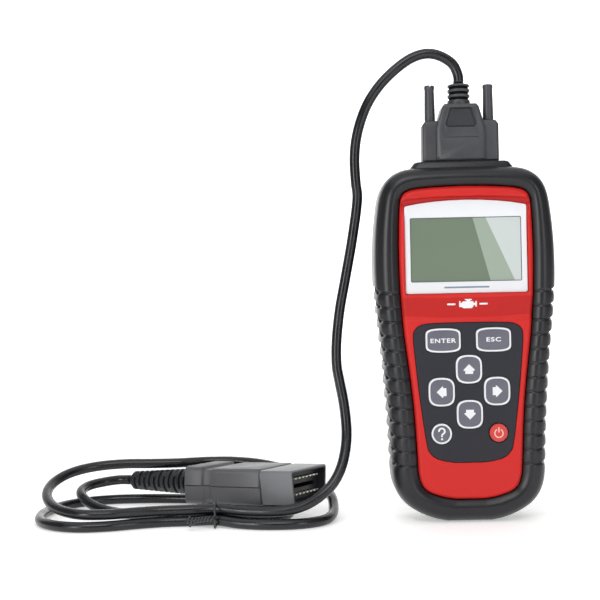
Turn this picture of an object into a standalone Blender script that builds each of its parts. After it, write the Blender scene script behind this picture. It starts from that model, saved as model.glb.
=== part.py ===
"""Handheld OBD code reader with its DA-15 to OBD-II cable.

Metres, +Z up.  The handset stands on the flat under its rubber boot, front face towards -Y.
The cable leaves the plug on top, hangs to the surface and lies in a loose tied hank.
"""

import math

import bmesh
import bpy
from mathutils import Matrix, Vector

MM = 0.001
GAP = 0.3  # clearance between pieces that touch
CLEAR = 2.0  # how far a cutter reaches past the surface it opens

# ---- handset, millimetres -------------------------------------------------------------------
# right half of the boot outline seen from the front: (x, z), top centre to bottom centre
BOOT_OUTLINE = [
    (0, 186.6), (15, 186.5), (28, 186.0), (35.5, 183.8), (41, 179.2), (44.2, 172.5), (45.9, 163),
    (47.2, 150), (47.7, 137), (47.6, 126), (46.9, 114), (45.3, 98), (43.7, 82), (42.3, 64),
    (41.3, 47), (40.7, 32), (39.8, 21.5), (37.3, 14.4), (32.8, 8.8), (26, 4.4), (18.5, 1.4), (12, 0),
]
OPENING_OUTLINE = [
    (0, 176.4), (16, 175.9), (28, 174.6), (33, 171.6), (34.6, 165), (35.3, 150), (35.4, 136),
    (34.9, 118), (33.6, 100), (31.6, 83), (29.9, 68), (28.7, 52), (27.9, 36), (27.0, 24),
    (23.5, 17.2), (15.5, 13.6), (7.5, 12.1),
]
OUTLINE_POINTS = 44
BOOT_FRONT = -17.5
BOOT_BACK = 17.5
BOOT_EDGE = [(-17.5, 5.6), (-16.6, 3.1), (-14.6, 1.2), (-11.0, 0.2), (-8.5, 0.0),
             (8.5, 0.0), (12.5, 1.2), (15.4, 3.6), (17.5, 8.0)]
BOOT_WALL = 3.0
BOOT_LIP_BACK = -14.6
CAVITY_EDGE = [(-14.6, 3.0), (9.6, 3.0), (13.4, 4.3), (14.9, 6.5)]
RIB_GROOVES = 13
RIB_FIRST_Z = 33.0
RIB_PITCH = 7.5
RIB_GROOVE_HEIGHT = 2.2
RIB_GROOVE_DEPTH = 2.0

SHELL_INSET = BOOT_WALL + GAP
SHELL_WALL = 2.0
SHELL_SPLIT = 1.0
PLATFORM_FRONT = -16.6
PLATFORM_INNER = -14.4
RIM_INNER = -12.4
REAR_OUTER = 14.6
REAR_INNER = 12.6
POSTS = [(-36.5, 158.0), (36.5, 158.0), (-30.5, 30.0), (30.5, 30.0)]
POST_NAMES = ["upper_left", "upper_right", "lower_left", "lower_right"]
POST_RADIUS = 3.4
POST_HOLE = 1.7
SCREW_RADIUS = 1.4
SCREW_HEAD_RADIUS = 2.7
COUNTERBORE = 3.1
COUNTERBORE_FLOOR = 10.8
SCREW_TIP = -9.0

BEZEL_HALF = 31.8
BEZEL_BOTTOM = 119.8
BEZEL_SIDE_TOP = 165.6
BEZEL_CROWN = 168.5
BEZEL_FRONT = -16.2
BEZEL_BACK = -15.0
BEZEL_FLOOR = -14.7
LCD_HALF = 29.0
LCD_BOTTOM = 125.8
LCD_TOP = 159.4

PANEL_OUTLINE = [
    (0, 104.5), (14, 104.4), (23, 103.8), (27.2, 101.6), (28.5, 97.2), (27.6, 85), (26.2, 70),
    (24.4, 55), (22.8, 43.5), (21.2, 37.4), (16.5, 33.6), (8, 31.8),
]
PANEL_FRONT = -17.0
PANEL_BACK = -15.9
PANEL_FLOOR = -15.6
KEY_FRONT = -17.9
KEY_BACK = -13.2
FLANGE_FRONT = -14.1
FLANGE_WIDTH = 0.7
# name, x, z, width, height, roundness exponent of the outline
KEYS = [
    ("key_enter", -13.1, 95.4, 18.2, 12.6, 4.0),
    ("key_esc", 13.1, 95.4, 18.2, 12.6, 4.0),
    ("key_up", 0.0, 80.2, 13.6, 14.8, 3.4),
    ("key_left", -14.4, 68.6, 13.6, 14.8, 3.4),
    ("key_right", 14.4, 68.6, 13.6, 14.8, 3.4),
    ("key_down", 0.0, 56.8, 13.6, 14.8, 3.4),
    ("key_help", -14.8, 46.9, 10.6, 10.6, 2.0),
    ("key_power", 14.8, 46.9, 10.6, 10.6, 2.0),
]
KEY_SIDES = 16
MAT_FRONT = -12.1
MAT_BACK = -11.2

BOARD_HALF = 26.5
BOARD_BOTTOM = 20.0
BOARD_TOP = 172.4
BOARD_FRONT = -6.0
BOARD_BACK = -4.4

# ---- port and plug on top -------------------------------------------------------------------
COLLAR_BOTTOM = 183.8
COLLAR_SHOULDER = 186.8
COLLAR_TOP = 189.5
COLLAR_HALF = (27.4, 9.6)
COLLAR_TOP_HALF = (24.8, 8.6)
COLLAR_HOLE = (21.2, 6.5)
FLANGE_Z = (183.6, 184.6)
FLANGE_HALF = (20.8, 6.1)
RING_HALF = (12.1, 4.9)
RING_WALL = 0.6
RING_TOP = 189.7
INSULATOR_HALF = (11.2, 4.0)
INSULATOR_Z = (172.8, 185.2)
PIN_TOP = 189.2
PIN_RADIUS = 0.5
PIN_PITCH = 2.55
PIN_ROW = 1.42
JACK_X = 15.6
JACK_TOP = 189.0
JACK_RADIUS = 2.7
SCREW_HOLE = 1.85
SHANK_RADIUS = 1.5
SHANK_BOTTOM = 186.3
HOOD_BOTTOM = 190.0
HOOD_DEPTH = 7.6
WING_DEPTH = 5.9
# right sides of the hood's parts seen from the front: (x, z), bottom to top
HOOD_BODY = [(12.4, HOOD_BOTTOM), (13.0, HOOD_BOTTOM + 0.8), (13.0, 207.4), (9.6, 218.8), (8.4, 220.2)]
HOOD_WING = [(20.2, HOOD_BOTTOM), (20.2, 209.4), (18.6, 211.5), (11.0, 211.5)]
HOOD_GRIP = [(5.2, 218.2), (5.9, 217.6), (8.3, 209.4), (7.0, 207.6)]
HOOD_GRIP_DEPTH = 1.2
HOOD_SEAM = (9.2, (202.1, 202.6))
HOOD_SEAM_DEPTH = 0.5
KNOB_BOTTOM = 211.8
KNOB_TOP = 231.0
KNOB_RADIUS = 2.7
KNOB_SLOT = 1.0
KNOB_SLOT_DEPTH = 1.4
PLUG_RING_HALF = (11.1, 3.9)
PLUG_RING_Z = (185.7, 196.6)
INSERT_HALF = (10.2, 3.0)
INSERT_Z = (186.0, 196.3)
RELIEF_BOTTOM = 220.5
RELIEF_TOP = 231.2
RELIEF_RADIUS = 5.9
RELIEF_GROOVES = (223.4, 226.3, 229.2)
RELIEF_GROOVE_DEPTH = 1.6

# ---- cable ----------------------------------------------------------------------------------
CABLE_DIAMETER = 5.5
LEAD_ROUTE = [
    (0.0, 0.0, 231.6), (0.0, 0.0, 236.0), (-2.8, 0.0, 242.4), (-9.4, 0.0, 246.9),
    (-16.8, 0.0, 248.3), (-24.9, 0.0, 246.0), (-33.2, 0.0, 240.4), (-41.4, 0.0, 232.6),
    (-48.2, 0.0, 223.1), (-52.6, 0.0, 213.0), (-55.3, 0.0, 202.6), (-56.3, 0.0, 192.2),
    (-55.9, 0.0, 180.4), (-55.3, 0.0, 170.6), (-58.5, 0.0, 149.5), (-62.7, 0.0, 128.2),
    (-65.9, -0.5, 112.2), (-67.9, -1.2, 96.2), (-68.2, -2.0, 83.4), (-66.9, -3.0, 74.4),
    (-65.3, -4.0, 65.5), (-64.2, -6.0, 56.1), (-63.9, -8.5, 46.8), (-65.0, -11.5, 38.0),
    (-67.6, -15.0, 29.6), (-71.8, -18.2, 22.6), (-77.4, -20.2, 17.4), (-84.4, -20.8, 13.0),
    (-92.8, -20.6, 10.0), (-104.0, -19.4, 8.7), (-118.0, -15.6, 8.6), (-132.5, -10.6, 9.2),
    (-148.0, -8.4, 8.6), (-163.0, -8.6, 8.4), (-177.0, -12.2, 8.4), (-191.0, -16.2, 8.4),
    (-204.5, -15.0, 8.6), (-216.5, -6.4, 9.6), (-224.6, 5.2, 12.0), (-228.2, 17.4, 15.4),
    (-226.6, 29.8, 19.0), (-219.4, 41.0, 22.2), (-207.0, 48.6, 24.2), (-191.0, 51.6, 25.0),
    (-175.0, 51.4, 24.9), (-159.0, 52.4, 24.8), (-143.0, 56.0, 24.8), (-127.0, 55.2, 24.6),
    (-111.0, 49.4, 23.6), (-95.6, 42.2, 20.6), (-82.4, 34.6, 15.4), (-73.6, 24.8, 10.6),
    (-71.6, 16.0, 8.7),
]
LEAD_STEP = 13.0
SPAN_POINTS = 12
# closed centreline of the turns that lie on the surface: (x, y)
HANK_ROUTE = [
    (-81, -7), (-90, -17), (-110, -19.5), (-132.5, -10.5), (-150, -6.5), (-167, -8), (-184, -13.5),
    (-202, -16), (-217, -9), (-225.5, 7), (-225.5, 28), (-217, 45.5), (-202, 55.5), (-180, 58),
    (-155, 55), (-130, 46), (-108, 33), (-90, 20), (-80, 7),
]
HANK_HALF_WIDTH = 7.0
HANK_HEIGHT = 5.3
HANK_POINTS = 64
TAIL_ROUTE = [
    (-167.5, 6.4, 2.9), (-180.0, 12.6, 2.9), (-193.0, 20.0, 3.1), (-204.0, 27.4, 5.0),
    (-211.6, 35.4, 8.0), (-215.0, 44.6, 10.6), (-212.0, 54.0, 12.4), (-204.4, 60.6, 13.3),
    (-195.8, 62.4, 14.1), (-188.9, 60.3, 14.3),
]
TIE_X = -133.6
TIE_WIRE = 1.1

# ---- OBD-II plug, in its own frame: x from the tail to the mating face ------------------------
OBD_TAIL = (-187.5, 59.5, 14.3)
OBD_TURN = (-2.0, -2.2, -29.0)
OBD_RELIEF_END = 48.5
OBD_COVER_START = 48.8
OBD_NECK = (61.3, 67.1)
OBD_COVER_END = 98.6
OBD_SHELL = (98.9, 118.5)
OBD_FLOOR = 102.0
OBD_SHELL_HALF = (19.7, 17.6, 9.2)
OBD_SHELL_WALL = 1.5
OBD_BLOCK_END = 114.0
OBD_PIN_END = 116.0
OBD_PIN_PITCH = 4.0
OBD_PIN_ROW = 4.2
OBD_PIN_SIZE = (1.8, 0.9)
OBD_BAR = (104.9, 106.1)
OBD_BAR_HALF = (15.1, 0.9)
OBD_KEY_WAY = (13.5, 1.1)


# ---- helpers ----------------------------------------------------------------------------------
def material(name, rgb, roughness, metallic=0.0):
    m = bpy.data.materials.get(name)
    if m is None:
        m = bpy.data.materials.new(name)
        m.use_nodes = True
        shader = m.node_tree.nodes["Principled BSDF"]
        shader.inputs["Base Color"].default_value = (*rgb, 1.0)
        shader.inputs["Roughness"].default_value = roughness
        shader.inputs["Metallic"].default_value = metallic
        m.diffuse_color = (*rgb, 1.0)
    return m


def finish_mesh(name, bm, mat, smooth=None):
    """Turns a bmesh in millimetres into a named object in metres."""
    bmesh.ops.recalc_face_normals(bm, faces=bm.faces)
    bmesh.ops.scale(bm, vec=(MM, MM, MM), verts=bm.verts)
    mesh = bpy.data.meshes.new(name)
    bm.to_mesh(mesh)
    bm.free()
    if mat is not None:
        mesh.materials.append(mat)
    o = bpy.data.objects.new(name, mesh)
    bpy.context.scene.collection.objects.link(o)
    if smooth is not None:
        mesh.shade_smooth()
        mesh.set_sharp_from_angle(angle=math.radians(smooth))
    return o


def add_loft(bm, rings):
    """Skins closed rings of 3-D points of equal count and caps both ends."""
    rows = [[bm.verts.new(p) for p in ring] for ring in rings]
    count = len(rows[0])
    for a, b in zip(rows, rows[1:]):
        for i in range(count):
            j = (i + 1) % count
            bm.faces.new((a[i], a[j], b[j], b[i]))
    bm.faces.new(rows[0])
    bm.faces.new(list(reversed(rows[-1])))


def loft(name, rings, mat=None, smooth=None):
    bm = bmesh.new()
    add_loft(bm, rings)
    return finish_mesh(name, bm, mat, smooth)


def catmull(points, closed=False, per_span=SPAN_POINTS):
    """A smooth curve through the points, sampled finely."""
    pts = [Vector(p) for p in points]
    n = len(pts)
    out = []
    spans = n if closed else n - 1
    for i in range(spans):
        if closed:
            p0, p1, p2, p3 = (pts[(i + k) % n] for k in (-1, 0, 1, 2))
        else:
            p0, p1, p2, p3 = (pts[min(max(i + k, 0), n - 1)] for k in (-1, 0, 1, 2))
        for s in range(per_span):
            t = s / per_span
            out.append(
                0.5 * (2 * p1 + (p2 - p0) * t + (2 * p0 - 5 * p1 + 4 * p2 - p3) * t * t
                       + (3 * p1 - p0 - 3 * p2 + p3) * t * t * t)
            )
    if not closed:
        out.append(pts[-1])
    return out


def evenly(points, count, closed=False):
    """count points spaced evenly along a polyline."""
    line = list(points) + ([points[0]] if closed else [])
    run = [0.0]
    for a, b in zip(line, line[1:]):
        run.append(run[-1] + (b - a).length)
    total = run[-1]
    steps = count if closed else count - 1
    out = []
    k = 0
    for i in range(count):
        want = total * i / steps
        while k < len(line) - 2 and run[k + 1] < want:
            k += 1
        span = max(run[k + 1] - run[k], 1e-9)
        out.append(line[k].lerp(line[k + 1], min(max((want - run[k]) / span, 0.0), 1.0)))
    return out


def outline(half, flat_bottom=True):
    """A closed outline from its right half, as (x, z) vectors, evenly spaced from the top."""
    right = [Vector(p) for p in half]
    left = [Vector((-x, z)) for x, z in reversed(half) if x > 0]
    if flat_bottom:
        smooth = catmull(right) + catmull(left + [Vector(half[0])])[:-1]
    else:
        smooth = catmull(right + left, closed=True)
    return evenly(smooth, OUTLINE_POINTS, closed=True)


def inset(points, distance):
    """Moves each point of a closed outline inwards along its normal."""
    n = len(points)
    middle = sum(points, Vector((0.0, 0.0))) / n
    out = []
    for i, p in enumerate(points):
        along = (points[(i + 1) % n] - points[i - 1]).normalized()
        normal = Vector((-along.y, along.x))
        if normal.dot(middle - p) < 0:
            normal = -normal
        out.append(p + normal * distance)
    return out


def front_ring(points, y):
    return [(p.x, y, p.y) for p in points]


def front_prism(name, points, y0, y1, mat=None, smooth=None):
    return loft(name, [front_ring(points, y0), front_ring(points, y1)], mat, smooth)


def box(name, low, high, mat=None):
    (x0, y0, z0), (x1, y1, z1) = low, high
    base = [(x0, y0), (x1, y0), (x1, y1), (x0, y1)]
    return loft(name, [[(x, y, z) for x, y in base] for z in (z0, z1)], mat)


def circle(radius, count=24):
    turns = [2 * math.pi * i / count for i in range(count)]
    return [Vector((radius * math.cos(t), radius * math.sin(t))) for t in turns]


def turned(name, profile, centre, axis, mat=None, count=24, smooth=40):
    """A solid of revolution: profile is (distance along the axis, radius)."""
    rings = []
    for along, radius in profile:
        ring = circle(radius, count)
        if axis == "Z":
            rings.append([(centre[0] + p.x, centre[1] + p.y, along) for p in ring])
        elif axis == "Y":
            rings.append([(centre[0] + p.x, along, centre[1] + p.y) for p in ring])
        else:
            rings.append([(along, centre[0] + p.x, centre[1] + p.y) for p in ring])
    return loft(name, rings, mat, smooth)


def joined(name, objects):
    """One mesh holding several disjoint solids, for use as a cutter."""
    bm = bmesh.new()
    for o in objects:
        bm.from_mesh(o.data)
        bpy.data.objects.remove(o)
    mesh = bpy.data.meshes.new(name)
    bm.to_mesh(mesh)
    bm.free()
    o = bpy.data.objects.new(name, mesh)
    bpy.context.scene.collection.objects.link(o)
    return o


def combine(target, tool, operation="DIFFERENCE"):
    """Applies an exact Boolean and discards the tool."""
    m = target.modifiers.new(operation.lower(), "BOOLEAN")
    m.operation = operation
    m.solver = "EXACT"
    m.object = tool
    bpy.context.view_layer.update()
    graph = bpy.context.evaluated_depsgraph_get()
    mesh = bpy.data.meshes.new_from_object(target.evaluated_get(graph))
    target.modifiers.remove(m)
    old = target.data
    target.data = mesh
    mesh.name = target.name
    bpy.data.meshes.remove(old)
    bpy.data.objects.remove(tool)
    return target


def smooth_by_angle(o, degrees):
    o.data.shade_smooth()
    o.data.set_sharp_from_angle(angle=math.radians(degrees))
    return o


def move_origin(o, x, y, z):
    """Puts the origin on the joint axis, given in millimetres."""
    point = Vector((x, y, z)) * MM
    o.data.transform(Matrix.Translation(-point))
    o.location = o.location + point
    return o


def rounded_rect(half_x, half_y, radius, per_corner=4):
    corners = [(1, 1, 0), (-1, 1, 90), (-1, -1, 180), (1, -1, 270)]
    out = []
    for sx, sy, start in corners:
        cx, cy = sx * (half_x - radius), sy * (half_y - radius)
        for k in range(per_corner + 1):
            t = math.radians(start + 90 * k / per_corner)
            out.append((cx + radius * math.cos(t), cy + radius * math.sin(t)))
    return out


def d_shape(half_x, half_y, radius=1.2, slant=1.0):
    """The outline of a D-subminiature shell: its -y side is shorter by slant at each end."""
    out = []
    for x, y in rounded_rect(half_x, half_y, radius):
        pull = slant * (half_y - y) / (2 * half_y)
        out.append((x - math.copysign(pull, x), y))
    return out


def upright_prism(name, points, z0, z1, mat=None, smooth=None):
    return loft(name, [[(x, y, z) for x, y in points] for z in (z0, z1)], mat, smooth)


# ---- materials --------------------------------------------------------------------------------
def red_plastic():
    return material("red_plastic", (0.62, 0.035, 0.03), 0.35)


def boot_rubber():
    return material("boot_rubber", (0.028, 0.03, 0.033), 0.6)


def black_plastic():
    return material("black_plastic", (0.04, 0.042, 0.046), 0.5)


def panel_grey():
    return material("panel_grey", (0.05, 0.053, 0.062), 0.45)


def key_grey():
    return material("key_grey", (0.09, 0.095, 0.12), 0.45)


def plug_grey():
    return material("plug_grey", (0.085, 0.09, 0.098), 0.45)


def cable_jacket():
    return material("cable_jacket", (0.016, 0.017, 0.019), 0.4)


def steel():
    return material("plated_steel", (0.6, 0.61, 0.62), 0.28, 1.0)


def brass_pins():
    return material("pin_metal", (0.78, 0.7, 0.5), 0.25, 1.0)


# ---- handset ----------------------------------------------------------------------------------
def boot_shape():
    return outline(BOOT_OUTLINE)


def opening_shape():
    return outline(OPENING_OUTLINE)


def make_rubber_boot():
    shape = boot_shape()
    boot = loft("rubber_boot", [front_ring(inset(shape, d), y) for y, d in BOOT_EDGE],
                boot_rubber())
    combine(boot, loft("cavity_cut", [front_ring(inset(shape, d), y) for y, d in CAVITY_EDGE]))
    combine(boot, front_prism("opening_cut", opening_shape(), -30, BOOT_LIP_BACK + 1))
    half_x, half_y = COLLAR_HALF
    top = rounded_rect(half_x + GAP, half_y + GAP, 4)
    combine(boot, upright_prism("collar_cut", top, COLLAR_BOTTOM - 2, 200))
    cutters = []
    for side in (-1, 1):
        for k in range(RIB_GROOVES):
            z = RIB_FIRST_Z + RIB_PITCH * k
            edge = half_width_at(z) - RIB_GROOVE_DEPTH
            low = (edge, -BOOT_BACK, z - RIB_GROOVE_HEIGHT / 2)
            high = (edge + 8, BOOT_BACK, z + RIB_GROOVE_HEIGHT / 2)
            if side < 0:
                low, high = (-high[0], low[1], low[2]), (-low[0], high[1], high[2])
            cutters.append(box(f"groove_{side}_{k}", low, high))
    combine(boot, joined("grooves_cut", cutters))
    return smooth_by_angle(boot, 40)


def half_width_at(z):
    """The boot's half width at a height, from its outline."""
    for (x0, z0), (x1, z1) in zip(BOOT_OUTLINE, BOOT_OUTLINE[1:]):
        if z1 <= z <= z0:
            return x0 + (x1 - x0) * (z0 - z) / (z0 - z1)
    return 0.0


def post_solids(radius, y0, y1):
    return [turned(f"post_{i}", [(y0, radius), (y1, radius)], p, "Y", count=12)
            for i, p in enumerate(POSTS)]


def key_outline(width, height, roundness, grow=0.0, sides=KEY_SIDES):
    """A superellipse in the key's own X and Z."""
    out = []
    for i in range(sides):
        t = 2 * math.pi * (i + 0.5) / sides
        c, s = math.cos(t), math.sin(t)
        x = math.copysign(abs(c) ** (2 / roundness), c) * (width / 2 + grow)
        z = math.copysign(abs(s) ** (2 / roundness), s) * (height / 2 + grow)
        out.append(Vector((x, z)))
    return out


def key_solid(name, x, z, width, height, roundness, levels, mat=None, smooth=None):
    """levels: (y, growth of the outline)."""
    rings = []
    for y, grow in levels:
        shape = key_outline(width, height, roundness, grow)
        rings.append([(x + p.x, y, z + p.y) for p in shape])
    return loft(name, rings, mat, smooth)


def key_cutters(grow, y0, y1):
    return [key_solid(f"cut_{name}", x, z, w, h, e, [(y0, grow), (y1, grow)])
            for name, x, z, w, h, e in KEYS]


def bezel_outline(grow=0.0):
    half = BEZEL_HALF + grow
    low = BEZEL_BOTTOM - grow
    right = [
        (0, BEZEL_CROWN + grow), (12, BEZEL_CROWN - 0.4 + grow), (24, BEZEL_CROWN - 1.6 + grow),
        (half - 0.8, BEZEL_SIDE_TOP + grow), (half, BEZEL_SIDE_TOP - 1.2), (half, low + 1.2),
        (half - 1.2, low), (12, low),
    ]
    left = [(-x, z) for x, z in reversed(right) if x > 0]
    return [Vector(p) for p in right + left]


def lcd_window(grow=0.0):
    half = LCD_HALF + grow
    high, low = LCD_TOP + grow, LCD_BOTTOM - grow
    middle = (high + low) / 2
    points = rounded_rect(half, (high - low) / 2, 1.0, 2)
    return [Vector((x, middle + z)) for x, z in points]


def make_front_shell():
    shape = inset(boot_shape(), SHELL_INSET)
    platform = inset(opening_shape(), GAP)
    rings = [
        front_ring(shape, SHELL_SPLIT - GAP), front_ring(shape, -13.6),
        front_ring(inset(shape, 0.7), BOOT_LIP_BACK + GAP), front_ring(platform, BOOT_LIP_BACK + GAP),
        front_ring(platform, PLATFORM_FRONT + 0.7), front_ring(inset(platform, 0.7), PLATFORM_FRONT),
    ]
    shell = loft("front_shell", rings, red_plastic())
    inner = inset(shape, SHELL_WALL)
    combine(shell, front_prism("rim_cut", inner, RIM_INNER, 5))
    combine(shell, front_prism("platform_cut", inset(platform, SHELL_WALL), PLATFORM_INNER,
                               RIM_INNER + 1))
    combine(shell, joined("posts", post_solids(POST_RADIUS, RIM_INNER - 0.6, SHELL_SPLIT - GAP)),
            "UNION")
    combine(shell, joined("post_holes", post_solids(POST_HOLE, SCREW_TIP - 1, 5)))
    combine(shell, front_prism("bezel_cut", bezel_outline(GAP), -20, BEZEL_FLOOR))
    combine(shell, front_prism("lcd_cut", lcd_window(1.0), -20, -10))
    combine(shell, front_prism("panel_cut", panel_shape(-GAP), -20, PANEL_FLOOR))
    combine(shell, joined("key_cut", key_cutters(GAP, -20, -10)))
    combine(shell, box("port_cut", (-15, -6.4, 175), (15, 6.4, 195)))
    return smooth_by_angle(shell, 40)


def panel_shape(distance):
    return inset(outline(PANEL_OUTLINE), distance)


def make_rear_shell():
    shape = inset(boot_shape(), SHELL_INSET)
    rings = [
        front_ring(shape, SHELL_SPLIT), front_ring(shape, 9.5), front_ring(inset(shape, 1.4), 13.2),
        front_ring(inset(shape, 3.6), REAR_OUTER),
    ]
    shell = loft("rear_shell", rings, red_plastic())
    combine(shell, front_prism("inner_cut", inset(shape, SHELL_WALL + 1.0), -1, REAR_INNER))
    combine(shell, joined("posts", post_solids(POST_RADIUS + 0.8, SHELL_SPLIT, REAR_INNER + 0.6)),
            "UNION")
    combine(shell, joined("post_holes", post_solids(POST_HOLE, -1, 20)))
    combine(shell, joined("counterbores", post_solids(COUNTERBORE, COUNTERBORE_FLOOR, 20)))
    combine(shell, box("port_cut", (-15, -6.4, 175), (15, 6.4, 195)))
    return smooth_by_angle(shell, 40)


def make_port_collar():
    rings = []
    for z, (hx, hy), radius in [
        (COLLAR_BOTTOM, COLLAR_HALF, 4), (COLLAR_SHOULDER, COLLAR_HALF, 4),
        (COLLAR_TOP - 0.6, COLLAR_TOP_HALF, 3.5),
        (COLLAR_TOP, (COLLAR_TOP_HALF[0] - 0.6, COLLAR_TOP_HALF[1] - 0.6), 3),
    ]:
        rings.append([(x, y, z) for x, y in rounded_rect(hx, hy, radius)])
    collar = loft("port_collar", rings, black_plastic())
    hole = rounded_rect(*COLLAR_HOLE, 2.5)
    combine(collar, upright_prism("hole_cut", hole, COLLAR_BOTTOM - 5, COLLAR_TOP + 5))
    return smooth_by_angle(collar, 40)


def make_display():
    bezel = front_prism("display_bezel", bezel_outline(), BEZEL_FRONT, BEZEL_BACK,
                        material("bezel_white", (0.85, 0.86, 0.88), 0.3))
    combine(bezel, front_prism("window_cut", lcd_window(), -20, -10))
    clear = material("clear_window", (0.9, 0.92, 0.93), 0.05)
    front_prism("display_window", lcd_window(-GAP), BEZEL_FRONT + 0.3, BEZEL_BACK + 0.2, clear)
    glass = lcd_window(3.4)
    front_prism("lcd_glass", glass, -12.1, -10.2, material("lcd_green", (0.2, 0.27, 0.19), 0.2))
    backlight = lcd_window(3.0)
    front_prism("lcd_backlight", backlight, -9.9, -6.8, material("diffuser", (0.8, 0.8, 0.75), 0.5))
    box("lcd_ribbon", (-12, -9.0, 112), (12, -8.8, 122.4),
        material("ribbon_amber", (0.45, 0.22, 0.05), 0.4))


def make_keypad():
    panel = front_prism("keypad_panel", panel_shape(0.0), PANEL_FRONT, PANEL_BACK, panel_grey())
    combine(panel, joined("key_cut", key_cutters(GAP, -20, -10)))
    red = material("power_red", (0.7, 0.05, 0.05), 0.4)
    for name, x, z, w, h, e in KEYS:
        levels = [
            (KEY_FRONT, -0.5), (KEY_FRONT + 0.4, 0.0), (FLANGE_FRONT, 0.0),
            (FLANGE_FRONT, FLANGE_WIDTH), (KEY_BACK, FLANGE_WIDTH),
        ]
        key = key_solid(name, x, z, w, h, e, levels, red if name == "key_power" else key_grey(), 40)
        move_origin(key, x, KEY_BACK, z)
    mat_shape = inset(outline(PANEL_OUTLINE), 1.0)
    key_mat = front_prism("key_mat", mat_shape, MAT_FRONT, MAT_BACK,
                          material("silicone_grey", (0.3, 0.3, 0.32), 0.7))
    pills = [turned(f"pill_{n}", [(MAT_BACK - 0.4, 2.5), (MAT_BACK + 3.4, 2.0)], (x, z), "Y",
                    count=12) for n, x, z, *_ in KEYS]
    combine(key_mat, joined("pills", pills), "UNION")


def make_electronics():
    board_green = material("board_green", (0.02, 0.16, 0.07), 0.4)
    chip_black = material("chip_black", (0.03, 0.03, 0.03), 0.5)
    can = material("can_metal", (0.7, 0.7, 0.7), 0.3, 1.0)
    box("main_board", (-BOARD_HALF, BOARD_FRONT, BOARD_BOTTOM), (BOARD_HALF, BOARD_BACK, BOARD_TOP),
        board_green)
    back = BOARD_BACK + GAP
    box("processor_chip", (-7, back, 92), (7, back + 1.4, 106), chip_black)
    box("memory_chip", (-16, back, 70), (-10, back + 1.6, 80), chip_black)
    box("transceiver_chip", (-4, back, 140), (4, back + 1.6, 150), chip_black)
    box("crystal", (11, back, 97), (15, back + 3.4, 108), can)
    turned("capacitor", [(back, 3.1), (back + 7.0, 3.1), (back + 7.4, 2.7)], (14, 148), "Y", can)
    box("voltage_regulator", (-18, back, 140), (-11, back + 2.3, 149), chip_black)
    turned("buzzer", [(back, 6), (back + 5.5, 6)], (0, 44), "Y", chip_black)


def make_case_screws():
    for (x, z), where in zip(POSTS, POST_NAMES):
        profile = [
            (SCREW_TIP, SCREW_RADIUS * 0.6), (SCREW_TIP + 1.0, SCREW_RADIUS),
            (COUNTERBORE_FLOOR + GAP, SCREW_RADIUS), (COUNTERBORE_FLOOR + GAP, SCREW_HEAD_RADIUS),
            (COUNTERBORE_FLOOR + 1.9, SCREW_HEAD_RADIUS),
            (COUNTERBORE_FLOOR + 2.4, SCREW_HEAD_RADIUS - 0.6),
        ]
        turned(f"case_screw_{where}", profile, (x, z), "Y", steel(), count=10)


def make_port():
    flange = rounded_rect(*FLANGE_HALF, 2.0, 2)
    port = upright_prism("port_shell", flange, *FLANGE_Z, steel())
    ring = d_shape(*RING_HALF)
    combine(port, upright_prism("ring", ring, FLANGE_Z[0] + 0.2, RING_TOP), "UNION")
    hole = d_shape(RING_HALF[0] - RING_WALL, RING_HALF[1] - RING_WALL)
    combine(port, upright_prism("ring_cut", hole, 170, 200))
    block = upright_prism("port_insert", d_shape(*INSULATOR_HALF), *INSULATOR_Z, black_plastic())
    pins = []
    for i, (x, y) in enumerate(pin_places()):
        pins.append(turned(f"pin_{i}", [(INSULATOR_Z[1] - 0.5, PIN_RADIUS),
                                        (PIN_TOP - 0.5, PIN_RADIUS), (PIN_TOP, 0.25)],
                           (x, y), "Z", count=6))
    combine(block, joined("pins", pins), "UNION")
    for side, where in ((-1, "left"), (1, "right")):
        nut = turned(f"jack_nut_{where}", [(FLANGE_Z[1] + GAP, JACK_RADIUS), (JACK_TOP, JACK_RADIUS)],
                     (side * JACK_X, 0), "Z", steel(), count=6)
        combine(nut, turned("bore", [(FLANGE_Z[0], SCREW_HOLE), (200, SCREW_HOLE)],
                            (side * JACK_X, 0), "Z", count=12))


def pin_places():
    upper = [((i - 3.5) * PIN_PITCH, PIN_ROW) for i in range(8)]
    lower = [((i - 3.0) * PIN_PITCH, -PIN_ROW) for i in range(7)]
    return upper + lower


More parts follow.
